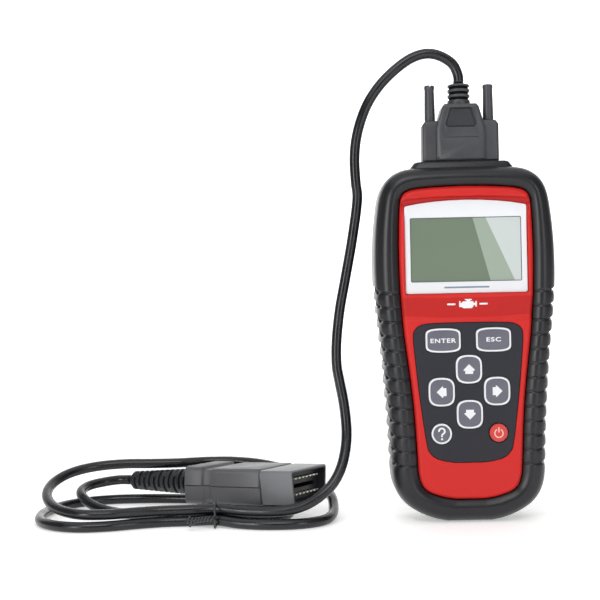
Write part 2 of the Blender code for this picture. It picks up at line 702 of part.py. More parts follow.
# ---- plug on top --------------------------------------------------------------------------------
def make_db15_plug():
    hood = front_prism("db15_hood", mirrored(HOOD_BODY), -HOOD_DEPTH, HOOD_DEPTH, plug_grey())
    wings = front_prism("wings", mirrored(HOOD_WING), -WING_DEPTH, WING_DEPTH)
    combine(hood, wings, "UNION")
    for side in (-1, 1):
        combine(hood, turned("screw_cut", [(180, SCREW_HOLE), (240, SCREW_HOLE)],
                             (side * JACK_X, 0), "Z", count=16))
    socket = d_shape(PLUG_RING_HALF[0] + GAP, PLUG_RING_HALF[1] + GAP)
    combine(hood, upright_prism("socket_cut", socket, 180, PLUG_RING_Z[1] + GAP))
    seam_half, (seam_low, seam_high) = HOOD_SEAM
    for side in (-1, 1):
        low, high = sorted((side * (HOOD_DEPTH - HOOD_GRIP_DEPTH), side * (HOOD_DEPTH + CLEAR)))
        combine(hood, front_prism("grip_cut", mirrored(HOOD_GRIP), low, high))
        low, high = sorted((side * (HOOD_DEPTH - HOOD_SEAM_DEPTH), side * (HOOD_DEPTH + CLEAR)))
        combine(hood, box("seam_cut", (-seam_half, low, seam_low), (seam_half, high, seam_high)))
    smooth_by_angle(hood, 30)

    ring = upright_prism("db15_shell", d_shape(*PLUG_RING_HALF), *PLUG_RING_Z, steel())
    wall = 0.5
    combine(ring, upright_prism("ring_cut", d_shape(PLUG_RING_HALF[0] - wall,
                                                    PLUG_RING_HALF[1] - wall), 170, 210))
    insert = upright_prism("db15_insert", d_shape(*INSERT_HALF), *INSERT_Z, black_plastic())
    holes = [turned(f"hole_{i}", [(180, PIN_RADIUS + 0.32), (PIN_TOP + 0.6, PIN_RADIUS + 0.32)], p,
                    "Z", count=6) for i, p in enumerate(pin_places())]
    combine(insert, joined("holes", holes))

    profile = [(RELIEF_BOTTOM, RELIEF_RADIUS)]
    for z in RELIEF_GROOVES:
        profile += [(z - 0.7, RELIEF_RADIUS), (z - 0.6, RELIEF_RADIUS - RELIEF_GROOVE_DEPTH),
                    (z + 0.6, RELIEF_RADIUS - RELIEF_GROOVE_DEPTH), (z + 0.7, RELIEF_RADIUS)]
    profile += [(RELIEF_TOP - 0.6, RELIEF_RADIUS - 0.2), (RELIEF_TOP, RELIEF_RADIUS - 0.8)]
    turned("db15_strain_relief", profile, (0, 0), "Z", black_plastic(), count=16)

    for side, where in ((-1, "left"), (1, "right")):
        profile = [
            (SHANK_BOTTOM, SHANK_RADIUS - 0.4), (SHANK_BOTTOM + 0.6, SHANK_RADIUS),
            (KNOB_BOTTOM, SHANK_RADIUS), (KNOB_BOTTOM, KNOB_RADIUS), (KNOB_TOP - 0.5, KNOB_RADIUS),
            (KNOB_TOP, KNOB_RADIUS - 0.5),
        ]
        screw = turned(f"thumbscrew_{where}", profile, (side * JACK_X, 0), "Z", black_plastic(),
                       count=20)
        reach = KNOB_RADIUS + CLEAR
        slot = box("slot_cut", (side * JACK_X - reach, -KNOB_SLOT / 2, KNOB_TOP - KNOB_SLOT_DEPTH),
                   (side * JACK_X + reach, KNOB_SLOT / 2, KNOB_TOP + CLEAR))
        combine(screw, slot)
        smooth_by_angle(screw, 40)
        move_origin(screw, side * JACK_X, 0, KNOB_BOTTOM)


def mirrored(right):
    """A closed x, z outline from its right side, bottom to top."""
    left = [(-x, z) for x, z in reversed(right)]
    return [Vector(p) for p in right + left]


# ---- cable --------------------------------------------------------------------------------------
def tube(name, points, diameter, mat, resolution=2):
    curve = bpy.data.curves.new(name, "CURVE")
    curve.dimensions = "3D"
    curve.bevel_depth = diameter / 2 * MM
    curve.bevel_resolution = resolution
    curve.use_fill_caps = True
    spline = curve.splines.new("POLY")
    spline.points.add(len(points) - 1)
    for target, p in zip(spline.points, points):
        target.co = (*(Vector(p) * MM), 1.0)
    curve.materials.append(mat)
    o = bpy.data.objects.new(name, curve)
    bpy.context.scene.collection.objects.link(o)
    return o


def make_cable():
    lead = catmull(LEAD_ROUTE)
    length = sum((b - a).length for a, b in zip(lead, lead[1:]))
    free = evenly(lead[SPAN_POINTS:], round(length / LEAD_STEP))
    tube("cable_lead", lead[:1] + free, CABLE_DIAMETER, cable_jacket())
    tail = catmull(TAIL_ROUTE)
    tube("cable_tail", evenly(tail, 10), CABLE_DIAMETER, cable_jacket())

    middle = evenly(catmull(HANK_ROUTE, closed=True), HANK_POINTS, closed=True)
    outer = inset(middle, -HANK_HALF_WIDTH)
    inner = inset(middle, HANK_HALF_WIDTH)
    hank = loft("cable_hank", [[(p.x, p.y, z) for p in outer] for z in (0, HANK_HEIGHT)],
                cable_jacket())
    combine(hank, loft("hole_cut", [[(p.x, p.y, z) for p in inner] for z in (-5, 20)]))
    combine(hank, box("tie_cut", (TIE_X - 1.1, -25, -2), (TIE_X + 1.1, 8, TIE_WIRE + 0.5)))
    smooth_by_angle(hank, 40)


def make_cable_tie():
    """One wire round the hank's front run and the strand on top of it, its ends twisted together."""
    front, back, low, high = -18.9, -1.9, TIE_WIRE / 2 + 0.05, 12.4
    loop = [
        (TIE_X, front + 0.2, 7.2), (TIE_X, front + 1.2, 10.4), (TIE_X, -15.0, high),
        (TIE_X, -9.0, high), (TIE_X, -4.8, 10.2), (TIE_X, back, 6.6), (TIE_X, back, 2.4),
        (TIE_X, back - 1.6, low), (TIE_X, -10.0, low), (TIE_X, front + 1.6, low),
        (TIE_X, front - 0.2, 2.0), (TIE_X, front - 0.4, 5.2),
    ]
    turns, radius, reach = 3, 0.95, 10.0
    strands = []
    for phase in (0.0, math.pi):
        strand = []
        for k in range(13):
            t = k / 12
            angle = phase + 2 * math.pi * turns * t
            spread = 1.0 + 1.2 * max(t - 0.75, 0) * 4
            strand.append((TIE_X - 1.6 - reach * t, front - 1.4 + radius * spread * math.cos(angle),
                           6.2 + radius * spread * math.sin(angle)))
        strands.append(strand)
    route = list(reversed(strands[1])) + loop + strands[0]
    tube("cable_tie", evenly(catmull(route, per_span=6), 84), TIE_WIRE, cable_jacket(), 1)


# ---- OBD-II plug ----------------------------------------------------------------------------------
def plug_frame():
    frame = bpy.data.objects.new("obd_plug_frame", None)
    bpy.context.scene.collection.objects.link(frame)
    frame.location = Vector(OBD_TAIL) * MM
    frame.rotation_euler = [math.radians(a) for a in OBD_TURN]
    return frame


def half_cover(name, side):
    """One half of the moulded cover; side is 1 above the parting line and -1 below."""
    def ring(x, half_y, half_z, radius):
        corner = [(half_y - radius + radius * math.cos(t), half_z - radius + radius * math.sin(t))
                  for t in (math.radians(a) for a in (0, 30, 60, 90))]
        right = [(half_y, GAP / 2)] + corner
        full = right + [(-y, z) for y, z in reversed(right)]
        return [(x, y, side * z) for y, z in full]

    neck0, neck1 = OBD_NECK
    rings = [
        ring(OBD_COVER_START, 17.2, 9.5, 2.4), ring(OBD_COVER_START + 0.8, 18.0, 10.3, 2.4),
        ring(neck0 - 0.6, 18.0, 10.3, 2.4), ring(neck0, 16.6, 8.7, 2.0),
        ring(neck1 - 0.2, 16.6, 8.7, 2.0), ring(neck1, 18.9, 9.2, 2.2),
        ring(neck1 + 0.7, 19.5, 9.7, 2.2), ring(OBD_COVER_END - 0.7, 19.5, 9.7, 2.2),
        ring(OBD_COVER_END, 18.9, 9.1, 2.2),
    ]
    return loft(name, rings, plug_grey(), 30)


def obd_face(half_top, half_bottom, half_z, radius=1.6):
    """The mating shell's outline in y and z: wider along its upper row of contacts."""
    out = []
    for y, z in rounded_rect(half_top, half_z, radius):
        pull = (half_top - half_bottom) * min(max(-z / half_z, 0.0), 1.0)
        out.append((y - math.copysign(pull, y), z))
    return out


def x_prism(name, shape, x0, x1, mat=None, smooth=None):
    return loft(name, [[(x, y, z) for y, z in shape] for x in (x0, x1)], mat, smooth)


def make_obd_plug():
    frame = plug_frame()
    pieces = []
    profile = [(GAP, 4.2), (1.2, 5.0)]
    rings = 6
    pitch = (OBD_RELIEF_END - 5.0) / rings
    for k in range(rings):
        x = 3.4 + pitch * k
        radius = 5.1 + 2.2 * (k + 0.5) / rings
        profile += [(x, radius), (x + 0.3, radius - 1.2), (x + 1.9, radius - 1.2), (x + 2.2, radius)]
    profile += [(OBD_RELIEF_END - 0.6, 7.5), (OBD_RELIEF_END, 7.2)]
    pieces.append(turned("obd_strain_relief", profile, (0, 0), "X", black_plastic(), count=14))
    pieces.append(half_cover("obd_cover_upper", 1))
    pieces.append(half_cover("obd_cover_lower", -1))

    top, bottom, half_z = OBD_SHELL_HALF
    shell = x_prism("obd_shell", obd_face(top, bottom, half_z), *OBD_SHELL, plug_grey())
    wall = OBD_SHELL_WALL
    hollow = obd_face(top - wall, bottom - wall, half_z - wall, 1.0)
    combine(shell, x_prism("hollow_cut", hollow, OBD_FLOOR, OBD_SHELL[1] + 5))
    pieces.append(smooth_by_angle(shell, 30))

    inside = obd_face(top - wall - GAP, bottom - wall - GAP, half_z - wall - GAP, 1.0)
    block = x_prism("obd_insert", inside, OBD_FLOOR + GAP, OBD_BLOCK_END, black_plastic())
    combine(block, x_prism("key_slot", rounded_rect(*OBD_KEY_WAY, 0.4, 1), OBD_BAR[0], OBD_SHELL[1]))
    for row in (-1, 1):
        slots = [x_prism(f"slot_{i}", contact_section(i, row, GAP), OBD_BAR[0], OBD_SHELL[1])
                 for i in range(8)]
        combine(block, joined("slots", slots))
    pieces.append(block)

    for row, where in ((1, "upper"), (-1, "lower")):
        combine(block, x_prism("bar_cut", bar_section(row, GAP), OBD_BAR[0] - GAP, OBD_BAR[1] + GAP))
        contacts = x_prism(f"obd_contacts_{where}", bar_section(row, 0.0), *OBD_BAR, brass_pins())
        blades = [x_prism(f"blade_{i}", contact_section(i, row, 0.0), sum(OBD_BAR) / 2, OBD_PIN_END)
                  for i in range(8)]
        combine(contacts, joined("blades", blades), "UNION")
        pieces.append(contacts)
    for piece in pieces:
        piece.parent = frame


def bar_section(row, grow):
    """The strip that carries one row of contacts, in y and z."""
    half_y, half_z = OBD_BAR_HALF
    return [(y, row * OBD_PIN_ROW + z) for y, z in rounded_rect(half_y + grow, half_z + grow, 0.3, 1)]


def contact_section(i, row, grow):
    """A flat blade's outline in y and z, grown by the clearance for its slot."""
    long_side, short_side = OBD_PIN_SIZE
    y = (i - 3.5) * OBD_PIN_PITCH
    z = row * OBD_PIN_ROW
    hy, hz = long_side / 2 + grow, short_side / 2 + grow
    return [(y - hy, z - hz), (y + hy, z - hz), (y + hy, z + hz), (y - hy, z + hz)]


def main():
    for o in list(bpy.data.objects):
        bpy.data.objects.remove(o)
    make_rubber_boot()
    make_front_shell()
    make_rear_shell()
    make_port_collar()
    make_display()
    make_keypad()
    make_electronics()
    make_case_screws()
    make_port()
    make_db15_plug()
    make_cable()
    make_cable_tie()
    make_obd_plug()


main()
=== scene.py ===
"""Looks of the OBD code reader: camera, light, floor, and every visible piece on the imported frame."""

import math

import bmesh
import bpy
from mathutils import Euler, Matrix, Vector


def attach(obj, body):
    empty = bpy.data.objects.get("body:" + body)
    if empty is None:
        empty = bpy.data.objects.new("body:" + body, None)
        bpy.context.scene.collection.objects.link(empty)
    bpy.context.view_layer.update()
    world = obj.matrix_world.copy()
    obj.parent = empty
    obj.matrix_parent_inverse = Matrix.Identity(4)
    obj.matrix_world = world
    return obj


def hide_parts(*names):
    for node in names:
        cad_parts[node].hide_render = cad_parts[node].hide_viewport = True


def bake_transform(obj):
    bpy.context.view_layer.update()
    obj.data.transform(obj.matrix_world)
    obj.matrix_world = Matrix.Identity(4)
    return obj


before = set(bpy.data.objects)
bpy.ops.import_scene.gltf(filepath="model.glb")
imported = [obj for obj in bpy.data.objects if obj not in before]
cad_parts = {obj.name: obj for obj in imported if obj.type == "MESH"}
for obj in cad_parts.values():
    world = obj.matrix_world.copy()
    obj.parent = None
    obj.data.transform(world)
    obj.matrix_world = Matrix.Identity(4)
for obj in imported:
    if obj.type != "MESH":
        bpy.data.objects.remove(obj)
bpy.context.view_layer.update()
MM = 0.001
scene = bpy.context.scene
scene.view_settings.view_transform = "Standard"


# ---- camera
def make_camera():
    data = bpy.data.cameras.new("camera")
    data.sensor_width = 36.0
    data.lens = 67.3
    data.clip_end = 50.0
    cam = bpy.data.objects.new("camera", data)
    scene.collection.objects.link(cam)
    cam.location = (-0.087, -0.600, 0.118)
    cam.rotation_euler = (math.radians(90.0), math.radians(1.2), 0.0)
    scene.camera = cam


make_camera()


# ---- shared helpers
def catmull(points, per_span=12):
    """A smooth open curve through the points."""
    pts = [Vector(p) for p in points]
    n = len(pts)
    out = []
    for i in range(n - 1):
        p0, p1, p2, p3 = (pts[min(max(i + k, 0), n - 1)] for k in (-1, 0, 1, 2))
        for s in range(per_span):
            t = s / per_span
            out.append(0.5 * (2 * p1 + (p2 - p0) * t + (2 * p0 - 5 * p1 + 4 * p2 - p3) * t * t
                              + (3 * p1 - p0 - 3 * p2 + p3) * t * t * t))
    return out + [pts[-1]]


def evenly(points, count, closed=False):
    """The line resampled at even distances."""
    line = list(points) + ([points[0]] if closed else [])
    run = [0.0]
    for a, b in zip(line, line[1:]):
        run.append(run[-1] + (b - a).length)
    steps = count if closed else count - 1
    out, k = [], 0
    for i in range(count):
        want = run[-1] * i / steps
        while k < len(line) - 2 and run[k + 1] < want:
            k += 1
        span = max(run[k + 1] - run[k], 1e-9)
        out.append(line[k].lerp(line[k + 1], min(max((want - run[k]) / span, 0.0), 1.0)))
    return out


def new_object(name, bm, mat, smooth=35.0):
    """A bmesh in millimetres becomes a named object in metres."""
    bmesh.ops.recalc_face_normals(bm, faces=bm.faces)
    bmesh.ops.scale(bm, vec=(MM, MM, MM), verts=bm.verts)
    mesh = bpy.data.meshes.new(name)
    bm.to_mesh(mesh)
    bm.free()
    if mat is not None:
        mesh.materials.append(mat)
    o = bpy.data.objects.new(name, mesh)
    scene.collection.objects.link(o)
    if smooth is not None:
        mesh.shade_smooth()
        mesh.set_sharp_from_angle(angle=math.radians(smooth))
    return o


def bridge(bm, rows, closed=True):
    """Quads between each row of vertices and the next. A closed row's last vertex joins its first."""
    for a, b in zip(rows, rows[1:]):
        for i in range(len(a) if closed else len(a) - 1):
            j = (i + 1) % len(a)
            bm.faces.new((a[i], a[j], b[j], b[i]))


def loft(name, rings, mat=None, smooth=35.0, closed=True):
    """A skin through the rings: a solid with both ends capped, or an open sheet."""
    bm = bmesh.new()
    rows = [[bm.verts.new(p) for p in ring] for ring in rings]
    bridge(bm, rows, closed)
    if closed:
        bm.faces.new(rows[0])
        bm.faces.new(list(reversed(rows[-1])))
    return new_object(name, bm, mat, smooth)


def front_ring(points, y):
    """A front outline's points (x, z) at a depth y."""
    return [(p[0], y, p[1]) for p in points]


def prism(name, points, depths, mat=None, smooth=35.0):
    """A straight prism of a front outline between two depths."""
    return loft(name, [front_ring(points, y) for y in depths], mat, smooth)


def inset(points, distance):
    n = len(points)
    middle = sum((Vector(p) for p in points), Vector((0.0, 0.0))) / n
    out = []
    for i, p in enumerate(points):
        along = (Vector(points[(i + 1) % n]) - Vector(points[i - 1])).normalized()
        normal = Vector((-along.y, along.x))
        if normal.dot(middle - Vector(p)) < 0:
            normal = -normal
        out.append(Vector(p) + normal * distance)
    return out


def outline(half, count):
    """A closed outline from its right half (top centre to bottom), evenly spaced from the top."""
    left = [(-x, z) for x, z in reversed(half) if x > 0]
    smooth = catmull(half) + catmull(left + [half[0]])[:-1]
    return evenly(smooth, count, closed=True)


def rounded_rect(half_x, half_y, radius, per_corner=6):
    out = []
    for sx, sy, start in [(1, 1, 0), (-1, 1, 90), (-1, -1, 180), (1, -1, 270)]:
        for k in range(per_corner + 1):
            t = math.radians(start + 90 * k / per_corner)
            out.append(Vector((sx * (half_x - radius) + radius * math.cos(t),
                               sy * (half_y - radius) + radius * math.sin(t))))
    return out


def plate(name, points, front, back, mat=None, edge=0.3, smooth=35.0):
    """A flat plate facing -Y with its front edge rounded over."""
    rings = [front_ring(points, back)]
    for k in range(5):
        t = math.radians(90 * k / 4)
        rings.append(front_ring(inset(points, edge * (1 - math.cos(t))),
                                front + edge * (1 - math.sin(t))))
    return loft(name, rings, mat, smooth)


def turned(name, profile, centre=(0, 0), axis="Z", mat=None, count=48, smooth=40.0):
    rings = []
    for along, radius in profile:
        ring = []
        for i in range(count):
            t = 2 * math.pi * i / count
            a, b = centre[0] + radius * math.cos(t), centre[1] + radius * math.sin(t)
            ring.append({"Z": (a, b, along), "Y": (a, along, b), "X": (along, a, b)}[axis])
        rings.append(ring)
    return loft(name, rings, mat, smooth)


def box(name, low, high, mat=None, smooth=None):
    (x0, y0, z0), (x1, y1, z1) = low, high
    base = [(x0, y0), (x1, y0), (x1, y1), (x0, y1)]
    return loft(name, [[(x, y, z) for x, y in base] for z in (z0, z1)], mat, smooth)


def apply_modifiers(o):
    bpy.context.view_layer.update()
    graph = bpy.context.evaluated_depsgraph_get()
    mesh = bpy.data.meshes.new_from_object(o.evaluated_get(graph))
    o.modifiers.clear()
    o.data = mesh
    return o


def bevel(o, width, segments=3, angle=35.0):
    m = o.modifiers.new("bevel", "BEVEL")
    m.width = width * MM
    m.segments = segments
    m.limit_method = "ANGLE"
    m.angle_limit = math.radians(angle)
    m.use_clamp_overlap = True
    return apply_modifiers(o)


def cut(target, tool):
    """Cuts the tool out of the target and removes the tool."""
    m = target.modifiers.new("boolean", "BOOLEAN")
    m.operation = "DIFFERENCE"
    m.solver = "EXACT"
    m.object = tool
    apply_modifiers(target)
    bpy.data.objects.remove(tool)
    return target


def smooth_again(o, degrees=35.0):
    o.data.shade_smooth()
    o.data.set_sharp_from_angle(angle=math.radians(degrees))
    return o


# ---- materials
def set_inputs(node, values):
    for name, value in values.items():
        node.inputs[name].default_value = value


def finish(name, rgb, rough, metallic=0.0, grain=(3000.0, 0.04), mottle=(60.0, 0.08), rough_spread=0.08,
           specular=0.5):
    """A moulded or plated surface: fine grain in the bump, slow variation in colour and roughness.

    grain and mottle are each (scale of the noise, strength).
    """
    m = bpy.data.materials.new(name)
    m.use_nodes = True
    nodes, links = m.node_tree.nodes, m.node_tree.links
    shader = nodes["Principled BSDF"]
    set_inputs(shader, {"Metallic": metallic, "Specular IOR Level": specular})
    place = nodes.new("ShaderNodeTexCoord")
    slow = nodes.new("ShaderNodeTexNoise")
    set_inputs(slow, {"Scale": mottle[0], "Detail": 4.0})
    links.new(place.outputs["Object"], slow.inputs["Vector"])
    ramp = nodes.new("ShaderNodeValToRGB")
    low = [c * (1 - mottle[1]) for c in rgb]
    high = [min(c * (1 + mottle[1]), 1.0) for c in rgb]
    for stop, position, colour in zip(ramp.color_ramp.elements, (0.3, 0.7), (low, high)):
        stop.position = position
        stop.color = (*colour, 1.0)
    links.new(slow.outputs["Fac"], ramp.inputs["Fac"])
    links.new(ramp.outputs["Color"], shader.inputs["Base Color"])
    spread = nodes.new("ShaderNodeMapRange")
    set_inputs(spread, {"From Min": 0.3, "From Max": 0.7, "To Min": max(rough - rough_spread, 0.02),
                        "To Max": min(rough + rough_spread, 1.0)})
    links.new(slow.outputs["Fac"], spread.inputs["Value"])
    links.new(spread.outputs["Result"], shader.inputs["Roughness"])
    fine = nodes.new("ShaderNodeTexNoise")
    set_inputs(fine, {"Scale": grain[0], "Detail": 3.0})
    links.new(place.outputs["Object"], fine.inputs["Vector"])
    bump = nodes.new("ShaderNodeBump")
    set_inputs(bump, {"Strength": grain[1], "Distance": 0.0002})
    links.new(fine.outputs["Fac"], bump.inputs["Height"])
    links.new(bump.outputs["Normal"], shader.inputs["Normal"])
    return m


RUBBER = finish("rubber_black", (0.0125, 0.013, 0.0155), 0.31, grain=(1500.0, 0.08), rough_spread=0.015,
                specular=0.4)
RED = finish("red_plastic", (0.585, 0.0175, 0.0145), 0.42, grain=(2200.0, 0.08), mottle=(40.0, 0.03),
             specular=0.28)
# a darker copy of the red: painted shade on the slope above the bezel
RED_PAINTED_SHADE = finish("red_painted_shade", (0.42, 0.0105, 0.009), 0.45, grain=(2200.0, 0.08), mottle=(40.0, 0.03),
                  specular=0.25)
# a darker copy of the red: painted shade on the band below the display
RED_BAND_PAINTED_SHADE = finish("red_band_painted_shade", (0.47, 0.012, 0.01), 0.45, grain=(2200.0, 0.08), mottle=(40.0, 0.03),
                  specular=0.25)
BLACK = finish("black_plastic", (0.02, 0.021, 0.024), 0.42, grain=(2600.0, 0.2))
HOOD = finish("hood_grey", (0.05, 0.051, 0.058), 0.36, grain=(1800.0, 0.35))
GRIP = finish("grip_grey", (0.022, 0.023, 0.028), 0.5, grain=(1400.0, 0.5))
# near black: painted shade seen in the strain relief's slots
GROOVE_PAINTED_SHADE = finish("groove_painted_shade", (0.003, 0.003, 0.0035), 0.7, specular=0.1)
PLUG = finish("plug_grey", (0.095, 0.096, 0.104), 0.44, grain=(1800.0, 0.35))
JACKET = finish("cable_jacket", (0.009, 0.0095, 0.012), 0.26, grain=(900.0, 0.06), mottle=(120.0, 0.2))
PANEL = finish("panel_grey", (0.014, 0.0145, 0.022), 0.55, grain=(3200.0, 0.3), specular=0.4)
KEY = finish("key_grey", (0.12, 0.122, 0.155), 0.42, grain=(2800.0, 0.12))
POWER = finish("power_red", (0.57, 0.045, 0.036), 0.4, grain=(2800.0, 0.1), mottle=(200.0, 0.03))
WHITE = finish("print_white", (0.78, 0.79, 0.81), 0.45, grain=(2800.0, 0.05), mottle=(200.0, 0.02))
BEZEL = finish("bezel_white", (0.76, 0.772, 0.8), 0.3, grain=(1500.0, 0.02), mottle=(8.0, 0.006),
               rough_spread=0.02)
PRINT = finish("print_blue", (0.2, 0.26, 0.33), 0.4, grain=(2800.0, 0.05), mottle=(200.0, 0.05))
PALE = finish("power_print", (0.9, 0.5, 0.45), 0.45, grain=(2800.0, 0.05), mottle=(200.0, 0.02))
STEEL = finish("nickel_plate", (0.62, 0.62, 0.6), 0.26, 1.0, grain=(1500.0, 0.08))
TIN = finish("contact_tin", (0.8, 0.78, 0.7), 0.24, 1.0, grain=(1500.0, 0.05))
BOARD = finish("board_green", (0.015, 0.12, 0.05), 0.35, grain=(1200.0, 0.15), mottle=(300.0, 0.3))
SILICONE = finish("silicone_grey", (0.3, 0.3, 0.32), 0.65, grain=(2000.0, 0.1))


# ---- the cable
DIAMETER = 5.5
CORD_STEP = 2.0  # about the distance between the rings of its skin
LEAD_ROUTE = [
    (0.0, 0.0, 231.6), (0.0, 0.0, 236.0), (-2.8, 0.0, 242.4), (-9.4, 0.0, 246.9),
    (-16.8, 0.0, 248.3), (-24.9, 0.0, 246.0), (-33.2, 0.0, 240.4), (-41.4, 0.0, 232.6),
    (-48.2, 0.0, 223.1), (-52.6, 0.0, 213.0), (-55.3, 0.0, 202.6), (-56.3, 0.0, 192.2),
    (-55.9, 0.0, 180.4), (-55.3, 0.0, 170.6), (-58.5, 0.0, 149.5), (-62.7, 0.0, 128.2),
    (-65.9, -0.5, 112.2), (-67.9, -1.2, 96.2), (-68.2, -2.0, 83.4), (-66.9, -3.0, 74.4),
    (-65.3, -4.0, 65.5), (-64.2, -6.0, 56.1), (-63.9, -8.5, 46.8), (-65.0, -11.5, 38.0),
    (-67.6, -15.0, 29.6), (-71.8, -18.2, 22.6), (-77.4, -20.2, 17.4), (-84.4, -20.8, 13.0),
    (-92.8, -20.6, 10.0), (-104.0, -19.4, 8.7), (-118.0, -15.6, 8.6), (-132.5, -10.6, 9.2),
    (-148.0, -8.4, 8.6), (-163.0, -8.6, 8.4), (-177.0, -12.2, 8.4), (-191.0, -16.2, 8.4),
    (-204.5, -15.0, 8.6), (-216.5, -6.4, 9.6), (-224.6, 5.2, 12.0), (-228.2, 17.4, 15.4),
    (-226.6, 29.8, 19.0), (-219.4, 41.0, 22.2), (-207.0, 48.6, 24.2), (-191.0, 51.6, 25.0),
    (-175.0, 51.4, 24.9), (-159.0, 52.4, 24.8), (-143.0, 56.0, 24.8), (-127.0, 55.2, 24.6),
    (-111.0, 49.4, 23.6), (-95.6, 42.2, 20.6), (-82.4, 34.6, 15.4), (-73.6, 24.8, 10.6),
    (-71.6, 16.0, 8.7),
]
TURNS_ROUTE = [
    (-71.2, 7.0, 6.0), (-72.0, -2.4, 3.9), (-75.6, -12.0, 2.9), (-83.0, -19.4, 2.75),
    (-94.0, -23.0, 2.75), (-108.0, -22.6, 2.75), (-121.0, -18.6, 2.9), (-133.6, -13.4, 3.8),
    (-147.0, -9.6, 2.9), (-160.0, -9.6, 2.75), (-175.0, -13.4, 2.75), (-190.0, -18.6, 2.75),
    (-205.0, -19.4, 2.75), (-218.0, -13.4, 2.75), (-227.2, -2.0, 2.75), (-231.0, 13.0, 2.75),
    (-230.4, 29.0, 2.75), (-225.0, 44.0, 2.75), (-214.4, 55.4, 2.75), (-200.0, 61.2, 2.75),
    (-183.0, 62.0, 2.75), (-166.0, 60.4, 2.75), (-149.0, 56.4, 2.75), (-132.0, 49.8, 2.75),
    (-117.0, 41.0, 2.75), (-104.6, 30.0, 2.75), (-96.4, 17.0, 2.75), (-96.0, 4.0, 2.75),
    (-104.0, -6.4, 2.75), (-118.0, -9.6, 2.8), (-133.6, -7.5, 3.8), (-147.0, -3.4, 2.9),
    (-158.0, 1.4, 2.75), (-167.5, 6.4, 2.9), (-180.0, 12.6, 2.9), (-193.0, 20.0, 3.1),
    (-204.0, 27.4, 5.0), (-211.6, 35.4, 8.0), (-215.0, 44.6, 10.6), (-212.0, 54.0, 12.4),
    (-204.4, 60.6, 13.3), (-195.8, 62.4, 14.1), (-188.9, 60.3, 14.3),
]


def tube_rings(path, radius, sides):
    """Rings of a tube round a path, turning as little as possible along it."""
    rings = []
    normal = None
    for i, p in enumerate(path):
        a = path[max(i - 1, 0)]
        b = path[min(i + 1, len(path) - 1)]
        along = (b - a).normalized()
        if normal is None:
            normal = along.orthogonal().normalized()
        normal = (normal - along * normal.dot(along)).normalized()
        across = along.cross(normal)
        turns = [2 * math.pi * k / sides for k in range(sides)]
        rings.append([p + (normal * math.cos(t) + across * math.sin(t)) * radius for t in turns])
    return rings


def make_cord():
    fine = catmull(LEAD_ROUTE + TURNS_ROUTE, per_span=10)
    length = sum((b - a).length for a, b in zip(fine, fine[1:]))
    path = evenly(fine, round(length / CORD_STEP))
    cord = loft("cable", tube_rings(path, DIAMETER / 2, 20), JACKET, None)
    cord.data.shade_smooth()
    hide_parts("cable_lead", "cable_tail", "cable_hank")
    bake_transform(cord)


make_cord()


# ---- light and stage
def area_light(name, place, aim, size, power):
    data = bpy.data.lights.new(name, "AREA")
    data.shape = "RECTANGLE"
    data.size, data.size_y = size
    data.energy = power
    o = bpy.data.objects.new(name, data)
    scene.collection.objects.link(o)
    o.location = place
    o.rotation_euler = (Vector(aim) - Vector(place)).to_track_quat("-Z", "Y").to_euler()


def stage_line(y, z):
    """A line across the stage, from metres to millimetres."""
    return [Vector((x, y, z)) / MM for x in (-5, 5)]


def make_stage():
    """A pale floor that curves up into a backdrop, the surrounding light and the softboxes."""
    white = finish("floor_white", (0.9, 0.9, 0.9), 0.8, grain=(200.0, 0.01), mottle=(2.0, 0.01))
    set_inputs(white.node_tree.nodes["Principled BSDF"],
               {"Emission Color": (1.0, 1.0, 0.99, 1.0), "Emission Strength": 0.4})
    rings = [stage_line(-4.0, 0.0), stage_line(2.0, 0.0)]
    for k in range(1, 13):
        t = math.radians(90 * k / 12)
        rings.append(stage_line(2.0 + 1.2 * math.sin(t), 1.2 * (1 - math.cos(t))))
    rings.append(stage_line(3.2, 5))
    floor = loft("floor", rings, white, None, closed=False)
    floor.data.shade_smooth()
    world = bpy.data.worlds.new("studio")
    scene.world = world
    world.use_nodes = True
    set_inputs(world.node_tree.nodes["Background"], {"Color": (1.0, 1.0, 1.0, 1.0), "Strength": 0.18})
    area_light("softbox_top", (-0.1, -0.1, 1.7), (-0.08, 0.0, 0.0), (2.6, 2.2), 14.5)
    area_light("softbox_key", (-0.25, -1.15, 1.15), (-0.05, 0.0, 0.1), (0.9, 0.6), 6.4)
    area_light("softbox_front_left", (-1.0, -1.2, 0.3), (-0.05, 0.0, 0.1), (0.35, 0.8), 7.0)
    area_light("softbox_front_right", (0.75, -1.3, 0.35), (0.0, 0.0, 0.12), (0.4, 0.8), 3.0)
    area_light("backdrop", (0.0, 1.6, 1.4), (0.0, 3.2, 0.8), (3.0, 1.5), 44.0)


make_stage()


# ---- the rubber boot
BOOT_OUTLINE = [
    (0, 186.6), (15, 186.5), (28, 186.0), (35.5, 183.8), (41, 179.2), (44.2, 172.5), (45.9, 163),
    (47.2, 150), (47.7, 137), (47.6, 126), (46.9, 114), (45.3, 98), (43.7, 82), (42.3, 64),
    (41.3, 47), (40.7, 32), (39.8, 21.5), (37.3, 14.4), (32.8, 8.8), (26, 4.4), (18.5, 1.4), (12, 0),
]
OPENING_OUTLINE = [
    (0, 176.4), (16, 175.9), (28, 174.6), (33, 171.6), (34.6, 165), (35.3, 150), (35.4, 136),
    (34.9, 118), (33.6, 100), (31.6, 83), (29.9, 68), (28.7, 52), (27.9, 36), (27.0, 24),
    (23.5, 17.2), (15.5, 13.6), (7.5, 12.1),
]
